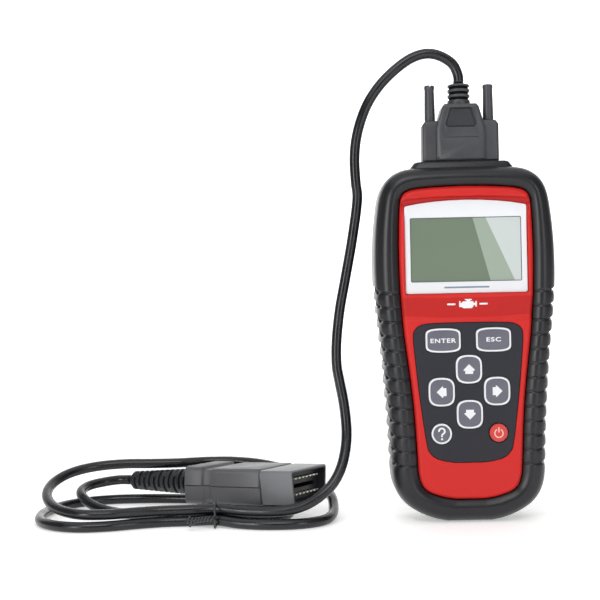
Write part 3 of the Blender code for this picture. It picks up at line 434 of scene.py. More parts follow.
# places on the boot's outline and the places on the opening that lie opposite them
BOOT_MATCHES = [
    ((0, 186.6), (0, 176.4)), ((28, 186.0), (26, 174.9)), ((35.5, 183.8), (31, 173.6)),
    ((41, 179.2), (33.2, 171.2)), ((44.2, 172.5), (34.2, 167.5)), ((45.9, 163), (34.7, 162)),
    ((47.6, 126), (35.2, 126)), ((45.3, 98), (33.4, 98)), ((42.3, 64), (29.6, 64)),
    ((40.7, 32), (27.6, 32)), ((39.8, 21.5), (26.6, 22.6)), ((37.3, 14.4), (25.2, 19.4)),
    ((32.8, 8.8), (22.6, 16.6)), ((26, 4.4), (19, 15.2)), ((12, 0), (9, 12.4)), ((0, 0), (0, 12.1)),
]
BAND_WIDTH = 12.3
# (y, distance in from the outline) from the back cap to the front crest and into the opening
BOOT_BACK = [(17.5, 8.0), (17.1, 5.8), (15.9, 3.6), (13.6, 1.7), (11.0, 0.5), (8.5, 0.0)]
BOOT_FRONT = [(-6.0, 0.0), (-10.0, 0.4), (-13.4, 1.6), (-15.9, 3.6), (-17.1, 5.8), (-17.5, 7.8),
              (-17.2, 9.4), (-16.2, 11.2), (-15.3, 12.3)]
RIB_TOP = 124.4
RIB_PITCH = 7.5
RIB_COUNT = 13
NOTCH_DEPTH = 3.8


def half_line(half):
    """The right half of an outline, finely sampled, down to the centre of its flat bottom."""
    return catmull(half, per_span=24) + [Vector((0.0, half[-1][1]))]


def along_line(line, place):
    run, best, where = 0.0, 1e9, 0.0
    for a, b in zip(line, line[1:]):
        span = (b - a).length
        if span > 1e-9:
            t = min(max((Vector(place) - a).dot(b - a) / span ** 2, 0.0), 1.0)
            gap = (a.lerp(b, t) - Vector(place)).length
            if gap < best:
                best, where = gap, run + t * span
        run += span
    return where


def at_lengths(line, lengths):
    out, k, run = [], 0, 0.0
    for want in lengths:
        while k < len(line) - 2 and run + (line[k + 1] - line[k]).length < want:
            run += (line[k + 1] - line[k]).length
            k += 1
        span = max((line[k + 1] - line[k]).length, 1e-9)
        out.append(line[k].lerp(line[k + 1], min(max((want - run) / span, 0.0), 1.0)))
    return out


def facing_outlines(step):
    """The boot's outline and the opening's, sampled so that point i of one faces point i of the other."""
    outer, inner = half_line(BOOT_OUTLINE), half_line(OPENING_OUTLINE)
    keys = [(along_line(outer, a), along_line(inner, b)) for a, b in BOOT_MATCHES]
    lengths = []
    for (a0, b0), (a1, b1) in zip(keys, keys[1:]):
        count = max(round((a1 - a0) / step), 1)
        lengths += [(a0 + (a1 - a0) * k / count, b0 + (b1 - b0) * k / count) for k in range(count)]
    lengths.append(keys[-1])
    sides = [at_lengths(outer, [a for a, _ in lengths]), at_lengths(inner, [b for _, b in lengths])]
    return [side + [Vector((-p.x, p.y)) for p in reversed(side[1:-1])] for side in sides]


def ease(t):
    t = min(max(t, 0.0), 1.0)
    return t * t * (3 - 2 * t)


def rib_depth(z, run, front):
    """Depth of the notches at a height. run is the distance forward from the side's middle."""
    fade_out = 1.0 - 0.86 * ease((run - 13.5) / 6.5)
    if not front:
        fade_out = 1.0 - ease((-run - 5.0) / 8.0)
    drop = 3.4 * ease((run - 4.0) / 13.0) + 0.4 * ease((run - 15.0) / 5.0)
    top = RIB_TOP - drop
    below = top - z
    if below < -0.4 or below > RIB_COUNT * RIB_PITCH - 0.45:
        return 0.0
    phase = below % RIB_PITCH
    wedge = 0.5 + 2.0 * (1 - ease((run - 8.0) / 9.0))
    if phase > RIB_PITCH - 0.4:
        share = 1.0 - (RIB_PITCH - phase) / 0.4
    elif phase < wedge:
        share = 1.0
    else:
        shallow = 0.22 * max(1.0 - (phase - wedge) / 3.0, 0.0)
        share = shallow + (1.0 - shallow) * max(1.0 - (phase - wedge) / 0.5, 0.0)
    return NOTCH_DEPTH * share * fade_out


def boot_rings():
    outer, inner = facing_outlines(0.4)
    rings = []
    back = catmull(BOOT_BACK, per_span=3)
    side = [Vector((y, 0.0)) for y in (5.5, 2.5, -0.5, -3.5)]
    front = catmull(BOOT_FRONT, per_span=5)
    run = -(back[0] - back[-1]).length - 9.0
    previous = back[0]
    for place in back + side + front:
        run += (place - previous).length
        previous = place
        y, d = place
        is_front = y < 2.0
        ring = []
        shape = inset(outer, d) if not is_front else None
        for i, (p, q) in enumerate(zip(outer, inner)):
            base = p.lerp(q, d / BAND_WIDTH) if is_front else shape[i]
            depth = 0.0
            if 20 < p.y < 130 and abs(p.x) > 38:
                depth = rib_depth(p.y, run, is_front)
            lean = ease((run - 7.0) / 9.0)
            inwards = (q - p).normalized()
            ring.append((base.x + inwards.x * depth * (1 - lean), y + depth * lean * 0.9,
                         base.y + inwards.y * depth * (1 - lean)))
        rings.append(ring)
    rings += [front_ring(inner, -15.1), front_ring(inner, -14.6)]
    inside = [(-14.6, 3.0), (9.6, 3.0), (13.4, 4.3), (14.9, 6.5)]
    return rings + [front_ring(inset(outer, d), y) for y, d in inside]


def make_boot():
    boot = loft("boot_skin", boot_rings(), RUBBER, 38.0)
    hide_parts("rubber_boot")
    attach(boot, "handset")


make_boot()


# ---- the red front
BEZEL_HALF = 31.8
BEZEL_LOW = 119.8
BEZEL_SIDE = 165.6
BEZEL_CROWN = 168.5
LCD_BOX = (29.0, 125.8, 159.4)
PANEL_OUTLINE = [
    (0, 104.5), (14, 104.4), (23, 103.8), (27.2, 101.6), (28.5, 97.2), (27.6, 85), (26.2, 70),
    (24.4, 55), (22.8, 43.5), (21.2, 37.4), (16.5, 33.6), (8, 31.8),
]
FACE_TOP_CORNER = (33.2, 171.2)
FACE_LOW_CORNER = (25.4, 19.6)
FACE_ACROSS = 90
FACE_UP = 230
FACE_BACK = -14.4
THROUGH = (-20, -10)  # depths of a cutter that passes right through the front


def bezel_shape(grow=0.0, low=None):
    """The bezel's outline: straight sides, a shallow arched top and small corners."""
    half = BEZEL_HALF + grow
    low = (BEZEL_LOW if low is None else low) - grow
    right = [(0, BEZEL_CROWN + grow), (8, BEZEL_CROWN - 0.16 + grow), (16, BEZEL_CROWN - 0.7 + grow),
             (24, BEZEL_CROWN - 1.62 + grow), (half - 1.0, BEZEL_SIDE + 0.05 + grow),
             (half - 0.25, BEZEL_SIDE - 0.3 + grow), (half, BEZEL_SIDE - 1.0 + grow),
             (half, low + 1.0), (half - 0.3, low + 0.3), (half - 1.0, low), (12, low)]
    return [Vector(p) for p in right + [(-x, z) for x, z in reversed(right) if x > 0]]


def bezel_top(x):
    return BEZEL_CROWN - 2.9 * min(abs(x) / BEZEL_HALF, 1.1) ** 2


# heights of the band across the face below the display, where a darker red paints the shade on its
# downward-facing slope
BAND_LOW, BAND_HIGH = 107.0, 117.8


def face_height(x, z):
    """How far forward the red face stands, as -y."""
    high = 17.0
    crest, valley = 17.2, 16.0
    if z < 124:
        high = 16.9 + (crest - 16.9) * ease((124 - z) / 4.0)
    if z < 118.9:
        high = crest - (crest - valley) * (118.9 - z) / 11.9
    if z <= BAND_LOW:
        high = valley + 0.8 * ease((BAND_LOW - z) / 1.8)
    if z > 150:
        top = bezel_top(x)
        slope = 2.0 + 3.0 * min(abs(x) / 30.0, 1.0) ** 1.6
        rise = min(max((z - top) / slope, 0.0), 1.0)
        inside = 15.3 + 1.7 * ease((abs(x) - BEZEL_HALF - 0.6) / 1.4)
        blend = ease((z - 158) / 6.0)
        target = inside + (crest - inside) * rise
        high = high + (target - high) * blend
        high -= 1.1 * min(max((z - 167.5) / 8.0, 0.0), 1.0)
    return high


def split_at(line, place):
    where = along_line(line, place)
    total = sum((b - a).length for a, b in zip(line, line[1:]))
    return where, total


def face_boundary():
    """The face's right side, top and bottom as evenly spaced rows of points, a little inside the boot."""
    line = half_line(OPENING_OUTLINE)
    shrunk = []
    for i, p in enumerate(line):
        a, b = line[max(i - 1, 0)], line[min(i + 1, len(line) - 1)]
        t = (b - a).normalized()
        shrunk.append(p + Vector((t.y, -t.x)) * 0.6 if t.length > 0 else p)
    high, total = split_at(shrunk, FACE_TOP_CORNER)
    low, _ = split_at(shrunk, FACE_LOW_CORNER)
    half = FACE_ACROSS // 2
    top = at_lengths(shrunk, [high * k / half for k in range(half + 1)])
    heights = [low + (high - low) * spread(k / FACE_UP) for k in range(FACE_UP + 1)]
    side = at_lengths(shrunk, heights[::-1])
    bottom = at_lengths(shrunk, [low + (total - low) * k / half for k in range(half + 1)])[::-1]
    return top, side[::-1], bottom


def spread(t):
    """Rows closer together near both ends."""
    return t - 0.06 * math.sin(2 * math.pi * t)


def face_grid():
    top, side, bottom = face_boundary()
    top = [Vector((-p.x, p.y)) for p in reversed(top[1:])] + top
    bottom = [Vector((-p.x, p.y)) for p in reversed(bottom[1:])] + bottom
    right, left = side, [Vector((-p.x, p.y)) for p in side]
    rows = []
    for j in range(FACE_UP + 1):
        v = j / FACE_UP
        row = []
        for i in range(FACE_ACROSS + 1):
            u = i / FACE_ACROSS
            p = bottom[i] * (1 - v) + top[i] * v + left[j] * (1 - u) + right[j] * u
            p -= (bottom[0] * (1 - u) + bottom[-1] * u) * (1 - v) + (top[0] * (1 - u) + top[-1] * u) * v
            row.append(p)
        rows.append(row)
    return rows


def border(rows):
    """The outer ring of a grid, once round."""
    return rows[0] + [r[-1] for r in rows[1:]] + rows[-1][-2::-1] + [r[0] for r in rows[-2:0:-1]]


def make_face():
    rows = face_grid()
    rim = border(rows)
    count_x, count_z = len(rows[0]), len(rows)
    bm = bmesh.new()
    grid = []
    for j, row in enumerate(rows):
        line = []
        for i, p in enumerate(row):
            near = min(i, count_x - 1 - i, j, count_z - 1 - j)
            drop = 0.0
            if near < 8:
                d = min((p - q).length for q in rim) if near else 0.0
                drop = 1.5 * max(1 - d / 2.0, 0.0) ** 2
            line.append(bm.verts.new((p.x, -(face_height(p.x, p.y) - drop), p.y)))
        grid.append(line)
    for a, b in zip(grid, grid[1:]):
        middle = (a[count_x // 2].co.z + b[count_x // 2].co.z) / 2
        for i in range(count_x - 1):
            face = bm.faces.new((a[i], a[i + 1], b[i + 1], b[i]))
            # faces in the band take the darker red, painted shade
            face.material_index = 1 if BAND_LOW < middle < BAND_HIGH else 0
    edge = border(grid)
    back = [bm.verts.new((v.co.x, FACE_BACK, v.co.z)) for v in edge]
    bridge(bm, [back, edge])
    bm.faces.new(back)
    face = new_object("front_face", bm, RED, 30.0)
    face.data.materials.append(RED_BAND_PAINTED_SHADE)
    cut(face, prism("bezel_pocket", bezel_shape(0.25), (-20, -14.65)))
    cut(face, prism("window_hole", lcd_shape(0.8), THROUGH))
    cut(face, prism("panel_pocket", outline_at(PANEL_OUTLINE, 0.25, 220), THROUGH))
    smooth_again(face, 30.0)
    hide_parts("front_shell")
    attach(face, "handset")


def outline_at(half, grow, count):
    return inset(outline(half, count), -grow)


def lcd_shape(grow=0.0, radius=0.8):
    half, low, high = LCD_BOX
    return [Vector((p.x, (low + high) / 2 + p.y))
            for p in rounded_rect(half + grow, (high - low) / 2 + grow, radius, 4)]


def rim_bead(name, shape, width, front, mat):
    """A low rounded bead that follows a closed front outline."""
    bm = bmesh.new()
    loops = []
    for k in range(9):
        t = math.radians(180 * k / 8)
        line = inset(shape, -width / 2 + width / 2 * math.cos(t))
        loops.append([bm.verts.new(p) for p in front_ring(line, front + 0.5 - 0.5 * math.sin(t))])
    for row in (loops[-1], loops[0]):
        loops.append([bm.verts.new((v.co.x, front + 1.3, v.co.z)) for v in row])
    bridge(bm, loops + loops[:1])
    return new_object(name, bm, mat, 50.0)


make_face()


def make_brow():
    """The slope that leads from the bezel's arched top up to the face, built as a strip in a darker red:
    painted shade.
    """
    rings = []
    for k in range(-60, 61):
        x = 33.0 * k / 60
        low = bezel_top(x) + 0.35
        tall = 0.9 + 1.7 * (abs(x) / 33.0) ** 2
        rings.append([(x, -16.1, low), (x, -17.05, low + tall * 0.5), (x, -17.22, low + tall),
                      (x, -15.2, low + tall), (x, -15.2, low)])
    brow = loft("brow_painted_shade", rings, RED_PAINTED_SHADE, 60.0)
    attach(brow, "handset")


def make_rims():
    bead = rim_bead("bezel_rim", refined(bezel_shape(0.3)), 0.8, -16.15, RED)
    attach(bead, "handset")


def refined(points, step=0.8):
    """The same closed outline with more points along its straight runs."""
    out = []
    for a, b in zip(points, points[1:] + points[:1]):
        count = max(round((b - a).length / step), 1)
        out += [a.lerp(b, k / count) for k in range(count)]
    return out


make_brow()
make_rims()


# ---- the display
def lcd_material(name, rgb):
    """Liquid-crystal glass: smooth, with a faint slow ripple."""
    return finish(name, rgb, 0.16, grain=(60.0, 0.02), mottle=(25.0, 0.025), rough_spread=0.03)


LCD = lcd_material("lcd_green", (0.165, 0.215, 0.155))
# lighter copies of the glass colour: a painted sheen and a painted reflection
LCD_PAINTED_SHEEN = lcd_material("lcd_painted_sheen", (0.33, 0.395, 0.33))
LCD_PAINTED_REFLECTION = lcd_material("lcd_painted_reflection", (0.57, 0.62, 0.61))
# a grey gasket; the thin edge it shows inside the bezel's opening is also painted shade at the glass's
# recessed edge
GASKET_AND_SHADE = finish("gasket_and_painted_shade", (0.12, 0.13, 0.15), 0.6, mottle=(200.0, 0.05))


def make_bezel():
    bezel = plate("bezel", refined(bezel_shape(0.0), 1.5), -15.95, -14.7, BEZEL, 0.25)
    cut(bezel, prism("opening", lcd_shape(), THROUGH))
    bevel(bezel, 0.15, 2, 50.0)
    smooth_again(bezel, 40.0)
    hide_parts("display_bezel")
    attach(bezel, "handset")


def make_lcd():
    """The glass, its two bands of painted reflection, and the dark gasket round it, whose thin edge is also
    painted shade.
    """
    half, low, high = LCD_BOX
    # x of each zone's edges along the bottom and the top of the glass
    bottom, top = (-half, 12.7, 25.5, half), (-half, 3.7, 10.4, half)
    zones = [("lcd_panel", LCD), ("lcd_painted_sheen", LCD_PAINTED_SHEEN), ("lcd_painted_reflection", LCD_PAINTED_REFLECTION)]
    for i, (name, mat) in enumerate(zones):
        corners = [(bottom[i], low), (bottom[i + 1], low), (top[i + 1], high), (top[i], high)]
        piece = prism(name, corners, (-14.2, -15.2), mat, None)
        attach(piece, "handset")
        if name == "lcd_panel":
            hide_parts("display_window")
    # only 0.35 mm shows inside the opening: a dark line that is partly gasket, partly painted shade
    gasket = prism("lcd_gasket_and_shade", lcd_shape(0.6), (-14.3, -15.4), GASKET_AND_SHADE, None)
    cut(gasket, prism("hole", lcd_shape(-0.35, 0.5), THROUGH))
    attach(gasket, "handset")


make_bezel()
make_lcd()


def ride_print(o, settle=False):
    """Settled prints are built about y = 0 and then laid on the red face."""
    if settle:
        for v in o.data.vertices:
            v.co.y -= face_height(v.co.x / MM, v.co.z / MM) * MM
    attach(o, "handset")


def rule(x, z, half):
    """The outline of a short flat rule with round ends."""
    return [Vector((x + p.x, z + p.y)) for p in rounded_rect(half, 0.45, 0.44, 4)]


def make_prints():
    """A plain rule under the display and a generic engine mark below it."""
    ride_print(plate("caption_rule", rule(0, 122.9, 11.8), -15.99, -15.8, PRINT, 0.02))
    for side, where in ((-1, "left"), (1, "right")):
        ride_print(plate(f"mark_rule_{where}", rule(side * 8.4, 114.1, 2.2), -0.05, 0.3, WHITE, 0.02), True)
    engine = [(-4.3, 112.6), (-2.9, 112.6), (-2.0, 111.9), (2.2, 111.9), (3.1, 112.8), (3.1, 113.5),
              (4.1, 113.5), (4.1, 112.7), (4.9, 112.7), (4.9, 115.6), (4.1, 115.6), (4.1, 114.7),
              (3.1, 114.7), (3.1, 115.5), (1.5, 115.5), (1.5, 116.1), (2.3, 116.1), (2.3, 116.7),
              (-1.3, 116.7), (-1.3, 116.1), (-0.5, 116.1), (-0.5, 115.5), (-2.3, 115.5), (-3.1, 114.7),
              (-3.6, 114.7), (-3.6, 115.7), (-4.3, 115.7)]
    ride_print(prism("engine_mark", engine, (0.3, -0.05), WHITE, None), True)


make_prints()


# ---- the keypad
# name, x, z, width, height, straightness of the sides, straightness of the top and bottom
KEYS = [
    ("enter", -13.1, 95.4, 18.2, 12.6, 7.0, 2.4), ("esc", 13.1, 95.4, 18.2, 12.6, 7.0, 2.4),
    ("up", 0.0, 80.2, 13.6, 14.8, 3.9, 2.6), ("left", -14.4, 68.6, 13.6, 14.8, 3.9, 2.6),
    ("right", 14.4, 68.6, 13.6, 14.8, 3.9, 2.6), ("down", 0.0, 56.8, 13.6, 14.8, 3.9, 2.6),
    ("help", -14.8, 46.9, 10.6, 10.6, 2.0, 2.0), ("power", 14.8, 46.9, 10.0, 10.0, 2.0, 2.0),
]
KEY_TOP = -17.75
KEY_RING = 0.95


def key_shape(x, z, width, height, side_power, top_power, grow=0.0, count=96):
    out = []
    for i in range(count):
        t = 2 * math.pi * (i + 0.5) / count
        c, s = math.cos(t), math.sin(t)
        out.append(Vector((x + math.copysign(abs(c) ** (2 / top_power), c) * (width / 2 + grow),
                           z + math.copysign(abs(s) ** (2 / side_power), s) * (height / 2 + grow))))
    return out


def make_panel():
    shape = outline_at(PANEL_OUTLINE, 0.0, 240)
    panel = plate("keypad_skin", shape, -17.0, -15.9, PANEL, 0.45)
    for name, *spec in KEYS:
        cut(panel, prism(f"hole_{name}", key_shape(*spec, grow=0.3), THROUGH))
    smooth_again(panel, 40.0)
    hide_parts("keypad_panel")
    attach(panel, "handset")


def key_cap(name, spec, grow, top, mat):
    """A key's raised cap, its edge rolled over and its face very slightly domed."""
    rings = [front_ring(key_shape(*spec, grow=grow), -15.6)]
    for k in range(5):
        t = math.radians(90 * k / 4)
        rings.append(front_ring(key_shape(*spec, grow=grow - 0.35 * (1 - math.cos(t))),
                                top + 0.35 * (1 - math.sin(t))))
    x, z, width, height = spec[:4]
    for part in (0.75, 0.5, 0.25):
        w, h = width * part, height * part
        rings.append(front_ring(key_shape(x, z, w, h, *spec[4:]), top - 0.1 * (1 - part ** 2)))
    return loft(name, rings, mat, 40.0)


def go_with_key(o, key):
    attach(o, f"{key}_key")


def make_keys():
    for name, *spec in KEYS:
        power = name == "power"
        grow, mat = (-0.3, POWER) if power else (-KEY_RING, KEY)
        cap = key_cap(f"cap_{name}", spec, grow, KEY_TOP, mat)
        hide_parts(f"key_{name}")
        go_with_key(cap, name)
        if not power:
            ring = ring_band(f"ring_{name}", key_shape(*spec), key_shape(*spec, grow=grow), KEY_TOP - 0.02)
            go_with_key(ring, name)


def ring_band(name, outer, inner, front):
    """A flat ring with softly rounded edges between two front outlines of the same count."""
    bm = bmesh.new()
    # (share of the way inwards, distance back from the front)
    rise = [(0.0, 1.5), (0.0, 0.25), (0.12, 0.06), (0.3, 0.0)]
    steps = rise + [(1.0 - part, back) for part, back in reversed(rise)]
    loops = []
    for part, back in steps:
        ring = [a.lerp(b, part) for a, b in zip(outer, inner)]
        loops.append([bm.verts.new(p) for p in front_ring(ring, front + back)])
    bridge(bm, loops + loops[:1])
    return new_object(name, bm, WHITE, 40.0)


def legend_text(name, words, x, z, height, width):
    """Raised print of a plain key legend, fitted to a width and height."""
    curve = bpy.data.curves.new(name, "FONT")
    curve.body = words
    curve.extrude = 0.02
    curve.offset = 0.028
    curve.space_character = 1.16
    curve.align_x = "CENTER"
    curve.align_y = "CENTER"
    o = bpy.data.objects.new(f"{name}_line", curve)
    scene.collection.objects.link(o)
    bpy.context.view_layer.update()
    mesh = bpy.data.meshes.new_from_object(o.evaluated_get(bpy.context.evaluated_depsgraph_get()))
    bpy.data.objects.remove(o)
    lows = [min(v.co[k] for v in mesh.vertices) for k in range(3)]
    highs = [max(v.co[k] for v in mesh.vertices) for k in range(3)]
    for v in mesh.vertices:
        px = (v.co.x - lows[0]) / (highs[0] - lows[0]) - 0.5
        pz = (v.co.y - lows[1]) / (highs[1] - lows[1]) - 0.5
        py = (v.co.z - lows[2]) / (highs[2] - lows[2])
        v.co = Vector((x + px * width, KEY_TOP - 0.11 - 0.05 * py, z + pz * height)) * MM
    mesh.materials.clear()
    mesh.materials.append(WHITE)
    out = bpy.data.objects.new(name, mesh)
    scene.collection.objects.link(out)
    return out


def flat_mark(name, points, mat):
    """A thin print that stands a little proud of the keys."""
    return prism(name, points, (KEY_TOP - 0.16, KEY_TOP - 0.16 + 0.2), mat, None)


def stroke(points, width):
    """The outline of a line of even width drawn through the points."""
    line = evenly(catmull(points, per_span=6), 40)
    sides = ([], [])
    for i, p in enumerate(line):
        along = (line[min(i + 1, len(line) - 1)] - line[max(i - 1, 0)]).normalized()
        across = Vector((-along.y, along.x)) * width / 2
        sides[0].append(p + across)
        sides[1].append(p - across)
    return sides[0] + sides[1][::-1]


def make_legends():
    go_with_key(legend_text("legend_enter", "ENTER", -13.1, 95.3, 2.3, 13.4), "enter")
    go_with_key(legend_text("legend_esc", "ESC", 13.1, 95.5, 2.3, 7.6), "esc")
    hook = [(math.radians(a), 1.5) for a in range(190, -71, -20)]
    curl = [(-14.8 + 1.5 * math.cos(t), 48.3 + r * math.sin(t)) for t, r in hook]
    curl += [(-14.75, 46.3), (-14.8, 45.3)]
    go_with_key(flat_mark("legend_help", stroke(curl, 0.85), WHITE), "help")
    turns = [2 * math.pi * k / 16 for k in range(16)]
    dot = [(-14.8 + 0.55 * math.cos(t), 44.2 + 0.55 * math.sin(t)) for t in turns]
    go_with_key(flat_mark("legend_help_dot", dot, WHITE), "help")
    side = [(2.95, -0.3), (2.85, -0.7), (2.05, -0.8), (2.05, -2.4)]
    house = [(0.0, 2.7)] + side + [(-x, z) for x, z in reversed(side)]
    for name, turn in (("up", 0), ("left", 90), ("down", 180), ("right", 270)):
        spec = next(k for k in KEYS if k[0] == name)
        a = math.radians(turn)
        c, s = math.cos(a), math.sin(a)
        points = [(spec[1] + x * c - z * s, spec[2] + x * s + z * c) for x, z in house]
        go_with_key(flat_mark(f"arrow_{name}", points, WHITE), name)
    make_power_mark()


def make_power_mark():
    x0, z0 = 14.8, 46.9
    turns = [math.radians(118 + 304 * k / 32) for k in range(33)]
    outer, inner = ([(x0 + r * math.cos(t), z0 - 0.2 + r * math.sin(t)) for t in turns] for r in (2.45, 1.85))
    go_with_key(flat_mark("power_arc", outer + inner[::-1], PALE), "power")
    bar = [(x0 - 0.3, z0 + 0.2), (x0 + 0.3, z0 + 0.2), (x0 + 0.3, z0 + 2.9), (x0 - 0.3, z0 + 2.9)]
    go_with_key(flat_mark("power_bar", bar, PALE), "power")


make_panel()
make_keys()
make_legends()


# ---- the plug on top
HOOD_BASE = 190.0
SCREW_X = 15.6


def mirrored(right):
    return [Vector(p) for p in right + [(-x, z) for x, z in reversed(right)]]


GRIP_OUTLINE = mirrored([(7.0, 207.6), (8.3, 209.4), (5.9, 217.6), (5.2, 218.2)])


def faceted(name, shape, half_depth, chamfer, drop, mat):
    """A slab seen from the front whose long edges are cut back by a flat chamfer, front and back."""
    inner = inset(shape, chamfer)
    rings = [front_ring(inner, -half_depth), front_ring(shape, -half_depth + drop),
             front_ring(shape, half_depth - drop), front_ring(inner, half_depth)]
    return bevel(loft(name, rings, mat, None), 0.25, 2, 25.0)


def ride_plug(o):
    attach(o, "db15_plug")


def make_hood():
    body = mirrored([(12.6, HOOD_BASE + 0.4), (13.0, HOOD_BASE + 0.8), (13.0, 207.4), (9.6, 218.8),
                     (8.4, 220.2)])
    hood = faceted("hood_body", body, 7.6, 1.9, 0.85, HOOD)
    for side in (-1, 1):
        pocket = loft("pocket", [front_ring(GRIP_OUTLINE, side * 8.6), front_ring(GRIP_OUTLINE, side * 7.0),
                                 front_ring(inset(GRIP_OUTLINE, 0.5), side * 6.4)])
        cut(hood, pocket)
        low, high = sorted((side * 7.1, side * 9.0))
        cut(hood, box("seam", (-9.2, low, 202.1), (9.2, high, 202.6)))
    smooth_again(bevel(hood, 0.1, 2, 40.0), 30.0)
    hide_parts("db15_hood")
    ride_plug(hood)
    for side, where in ((-1, "front"), (1, "back")):
        pad_shape = inset(GRIP_OUTLINE, 0.75)
        rings = [front_ring(pad_shape, side * 6.2), front_ring(pad_shape, side * 6.75),
                 front_ring(inset(pad_shape, 0.25), side * 6.9)]
        ride_plug(loft(f"grip_pad_{where}", rings, GRIP, 30.0))
    for side, where in ((-1, "left"), (1, "right")):
        wing = [(side * x, z) for x, z in [(10.6, HOOD_BASE), (20.2, HOOD_BASE), (20.2, 209.4),
                                           (18.6, 211.5), (10.6, 211.5)]]
        piece = faceted(f"wing_{where}", [Vector(p) for p in wing], 5.9, 1.5, 0.7, HOOD)
        cut(piece, turned("bore", [(180, 1.8), (240, 1.8)], (side * SCREW_X, 0)))
        smooth_again(piece, 30.0)
        ride_plug(piece)
    gasket = loft("hood_gasket", [[(p.x, p.y, z) for p in rounded_rect(12.2, 5.0, 1.5)]
                                  for z in (HOOD_BASE, HOOD_BASE + 2.0)], BLACK, 40.0)
    ride_plug(gasket)


def make_plug_relief():
    """A ribbed sleeve: rings held apart by narrow slots, on a slimmer core in near black that paints the
    shade in the slots.
    """
    profile = [(219.6, 4.6), (219.8, 6.1), (221.6, 6.1), (222.6, 5.95)]
    for z in (223.4, 226.3, 229.2):
        profile += [(z - 1.05, 6.0), (z - 0.8, 5.85), (z - 0.78, 4.2), (z + 0.78, 4.2), (z + 0.8, 5.75),
                    (z + 1.05, 5.9)]
    profile += [(230.6, 5.9), (231.0, 5.6), (231.2, 5.0), (231.2, 2.9)]
    relief = turned("plug_relief", profile, (0, 0), "Z", HOOD, 56, 30.0)
    core = turned("plug_relief_core", [(221.0, 5.2), (230.6, 5.1)], (0, 0), "Z", GROOVE_PAINTED_SHADE, 40, 30.0)
    ride_plug(core)
    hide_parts("db15_strain_relief")
    ride_plug(relief)


def make_thumbscrews():
    for side, where in ((-1, "left"), (1, "right")):
        profile = [(186.3, 1.0), (186.9, 1.45), (211.7, 1.45), (211.75, 2.5), (212.0, 2.8), (213.0, 2.85),
                   (222.0, 2.7), (228.4, 2.55), (228.8, 2.55), (229.1, 2.72), (230.6, 2.72), (231.0, 2.4)]
        screw = turned(f"screw_{where}", profile, (side * SCREW_X, 0), "Z", HOOD, 48, 35.0)
        slot = box("slot", (-0.5, -4, 229.5), (0.5, 4, 233))
        slot.data.transform(Matrix.Rotation(math.radians(8 if side < 0 else 68), 4, "Z"))
        slot.data.transform(Matrix.Translation((side * SCREW_X * MM, 0, 0)))
        cut(screw, slot)
        smooth_again(bevel(screw, 0.1, 2, 50.0), 35.0)
        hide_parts(f"thumbscrew_{where}")
        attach(screw, f"screw_{where}")


def make_collar():
    rings = []
    for z, hx, hy, r in [(183.0, 28.6, 10.4, 4.5), (184.6, 28.0, 10.0, 4.5), (186.8, 26.9, 9.4, 4.2),
                         (188.6, 25.6, 8.9, 3.8), (189.2, 25.0, 8.6, 3.5), (189.5, 24.2, 8.0, 3.0),
                         (189.5, 21.6, 6.9, 2.8), (189.2, 21.2, 6.5, 2.6), (184.0, 21.2, 6.5, 2.6)]:
        rings.append([(p.x, p.y, z) for p in rounded_rect(hx, hy, r, 8)])
    collar = loft("collar", rings, RUBBER, 40.0)
    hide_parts("port_collar")
    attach(collar, "handset")


make_hood()
make_plug_relief()
make_thumbscrews()
make_collar()


# ---- the OBD-II plug
OBD_FRAME = (Matrix.Translation((-187.5, 59.5, 14.3))
             @ Euler([math.radians(a) for a in (-2.0, -2.2, -29.0)]).to_matrix().to_4x4())


def place_obd(o):
    """Moves a piece built in the plug's own frame, x towards the mating face, to its place."""
    m = OBD_FRAME.copy()
    m.translation = m.translation * MM
    o.data.transform(m)
    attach(o, "handset")


def section(half_y, half_z, radius, bottom=None, count=5):
    """A rounded cross-section in y and z, narrower below where bottom is given."""
    out = []
    for p in rounded_rect(half_y, half_z, radius, count):
        pull = (half_y - bottom) * min(max(-p.y / half_z, 0.0), 1.0) if bottom else 0.0
        out.append((p.x - math.copysign(pull, p.x), p.y))
    return out


def along_x(name, stations, mat, smooth=35.0):
    """stations: (x, section points in y and z)."""
    return loft(name, [[(x, y, z) for y, z in ring] for x, ring in stations], mat, smooth)


def cover_half(name, side):
    """One moulded half: the collar behind the neck, the neck, and the long body."""
    def ring(x, half_y, half_z, radius):
        draft = 0.9 if side > 0 else 0.5
        corner = [(half_y - draft - radius + radius * math.cos(t), half_z - radius + radius * math.sin(t))
                  for t in (math.radians(a) for a in range(0, 91, 15))]
        right = [(half_y - 0.3, 0.12), (half_y, 0.4)] + corner
        full = right + [(-y, z) for y, z in reversed(right)]
        return x, [(y, side * z) for y, z in full]
    stations = [
        ring(48.8, 16.4, 8.7, 2.0), ring(49.0, 17.4, 9.7, 2.2), ring(49.6, 18.0, 10.3, 2.4),
        ring(60.2, 18.0, 10.3, 2.4), ring(60.7, 17.6, 9.9, 2.3), ring(61.2, 16.6, 8.9, 2.0),
        ring(61.6, 16.4, 8.6, 1.9), ring(66.6, 16.4, 8.6, 1.9), ring(67.0, 17.6, 9.0, 2.0),
        ring(67.4, 19.0, 9.4, 2.2), ring(68.0, 19.5, 9.7, 2.4), ring(97.6, 19.5, 9.7, 2.4),
        ring(98.2, 19.2, 9.4, 2.3), ring(98.6, 18.6, 8.8, 2.0),
    ]
    return along_x(name, stations, PLUG, 40.0)


def make_obd_covers():
    for side, where in ((1, "upper"), (-1, "lower")):
        cover = cover_half(f"obd_half_{where}", side)
        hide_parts(f"obd_cover_{where}")
        place_obd(cover)


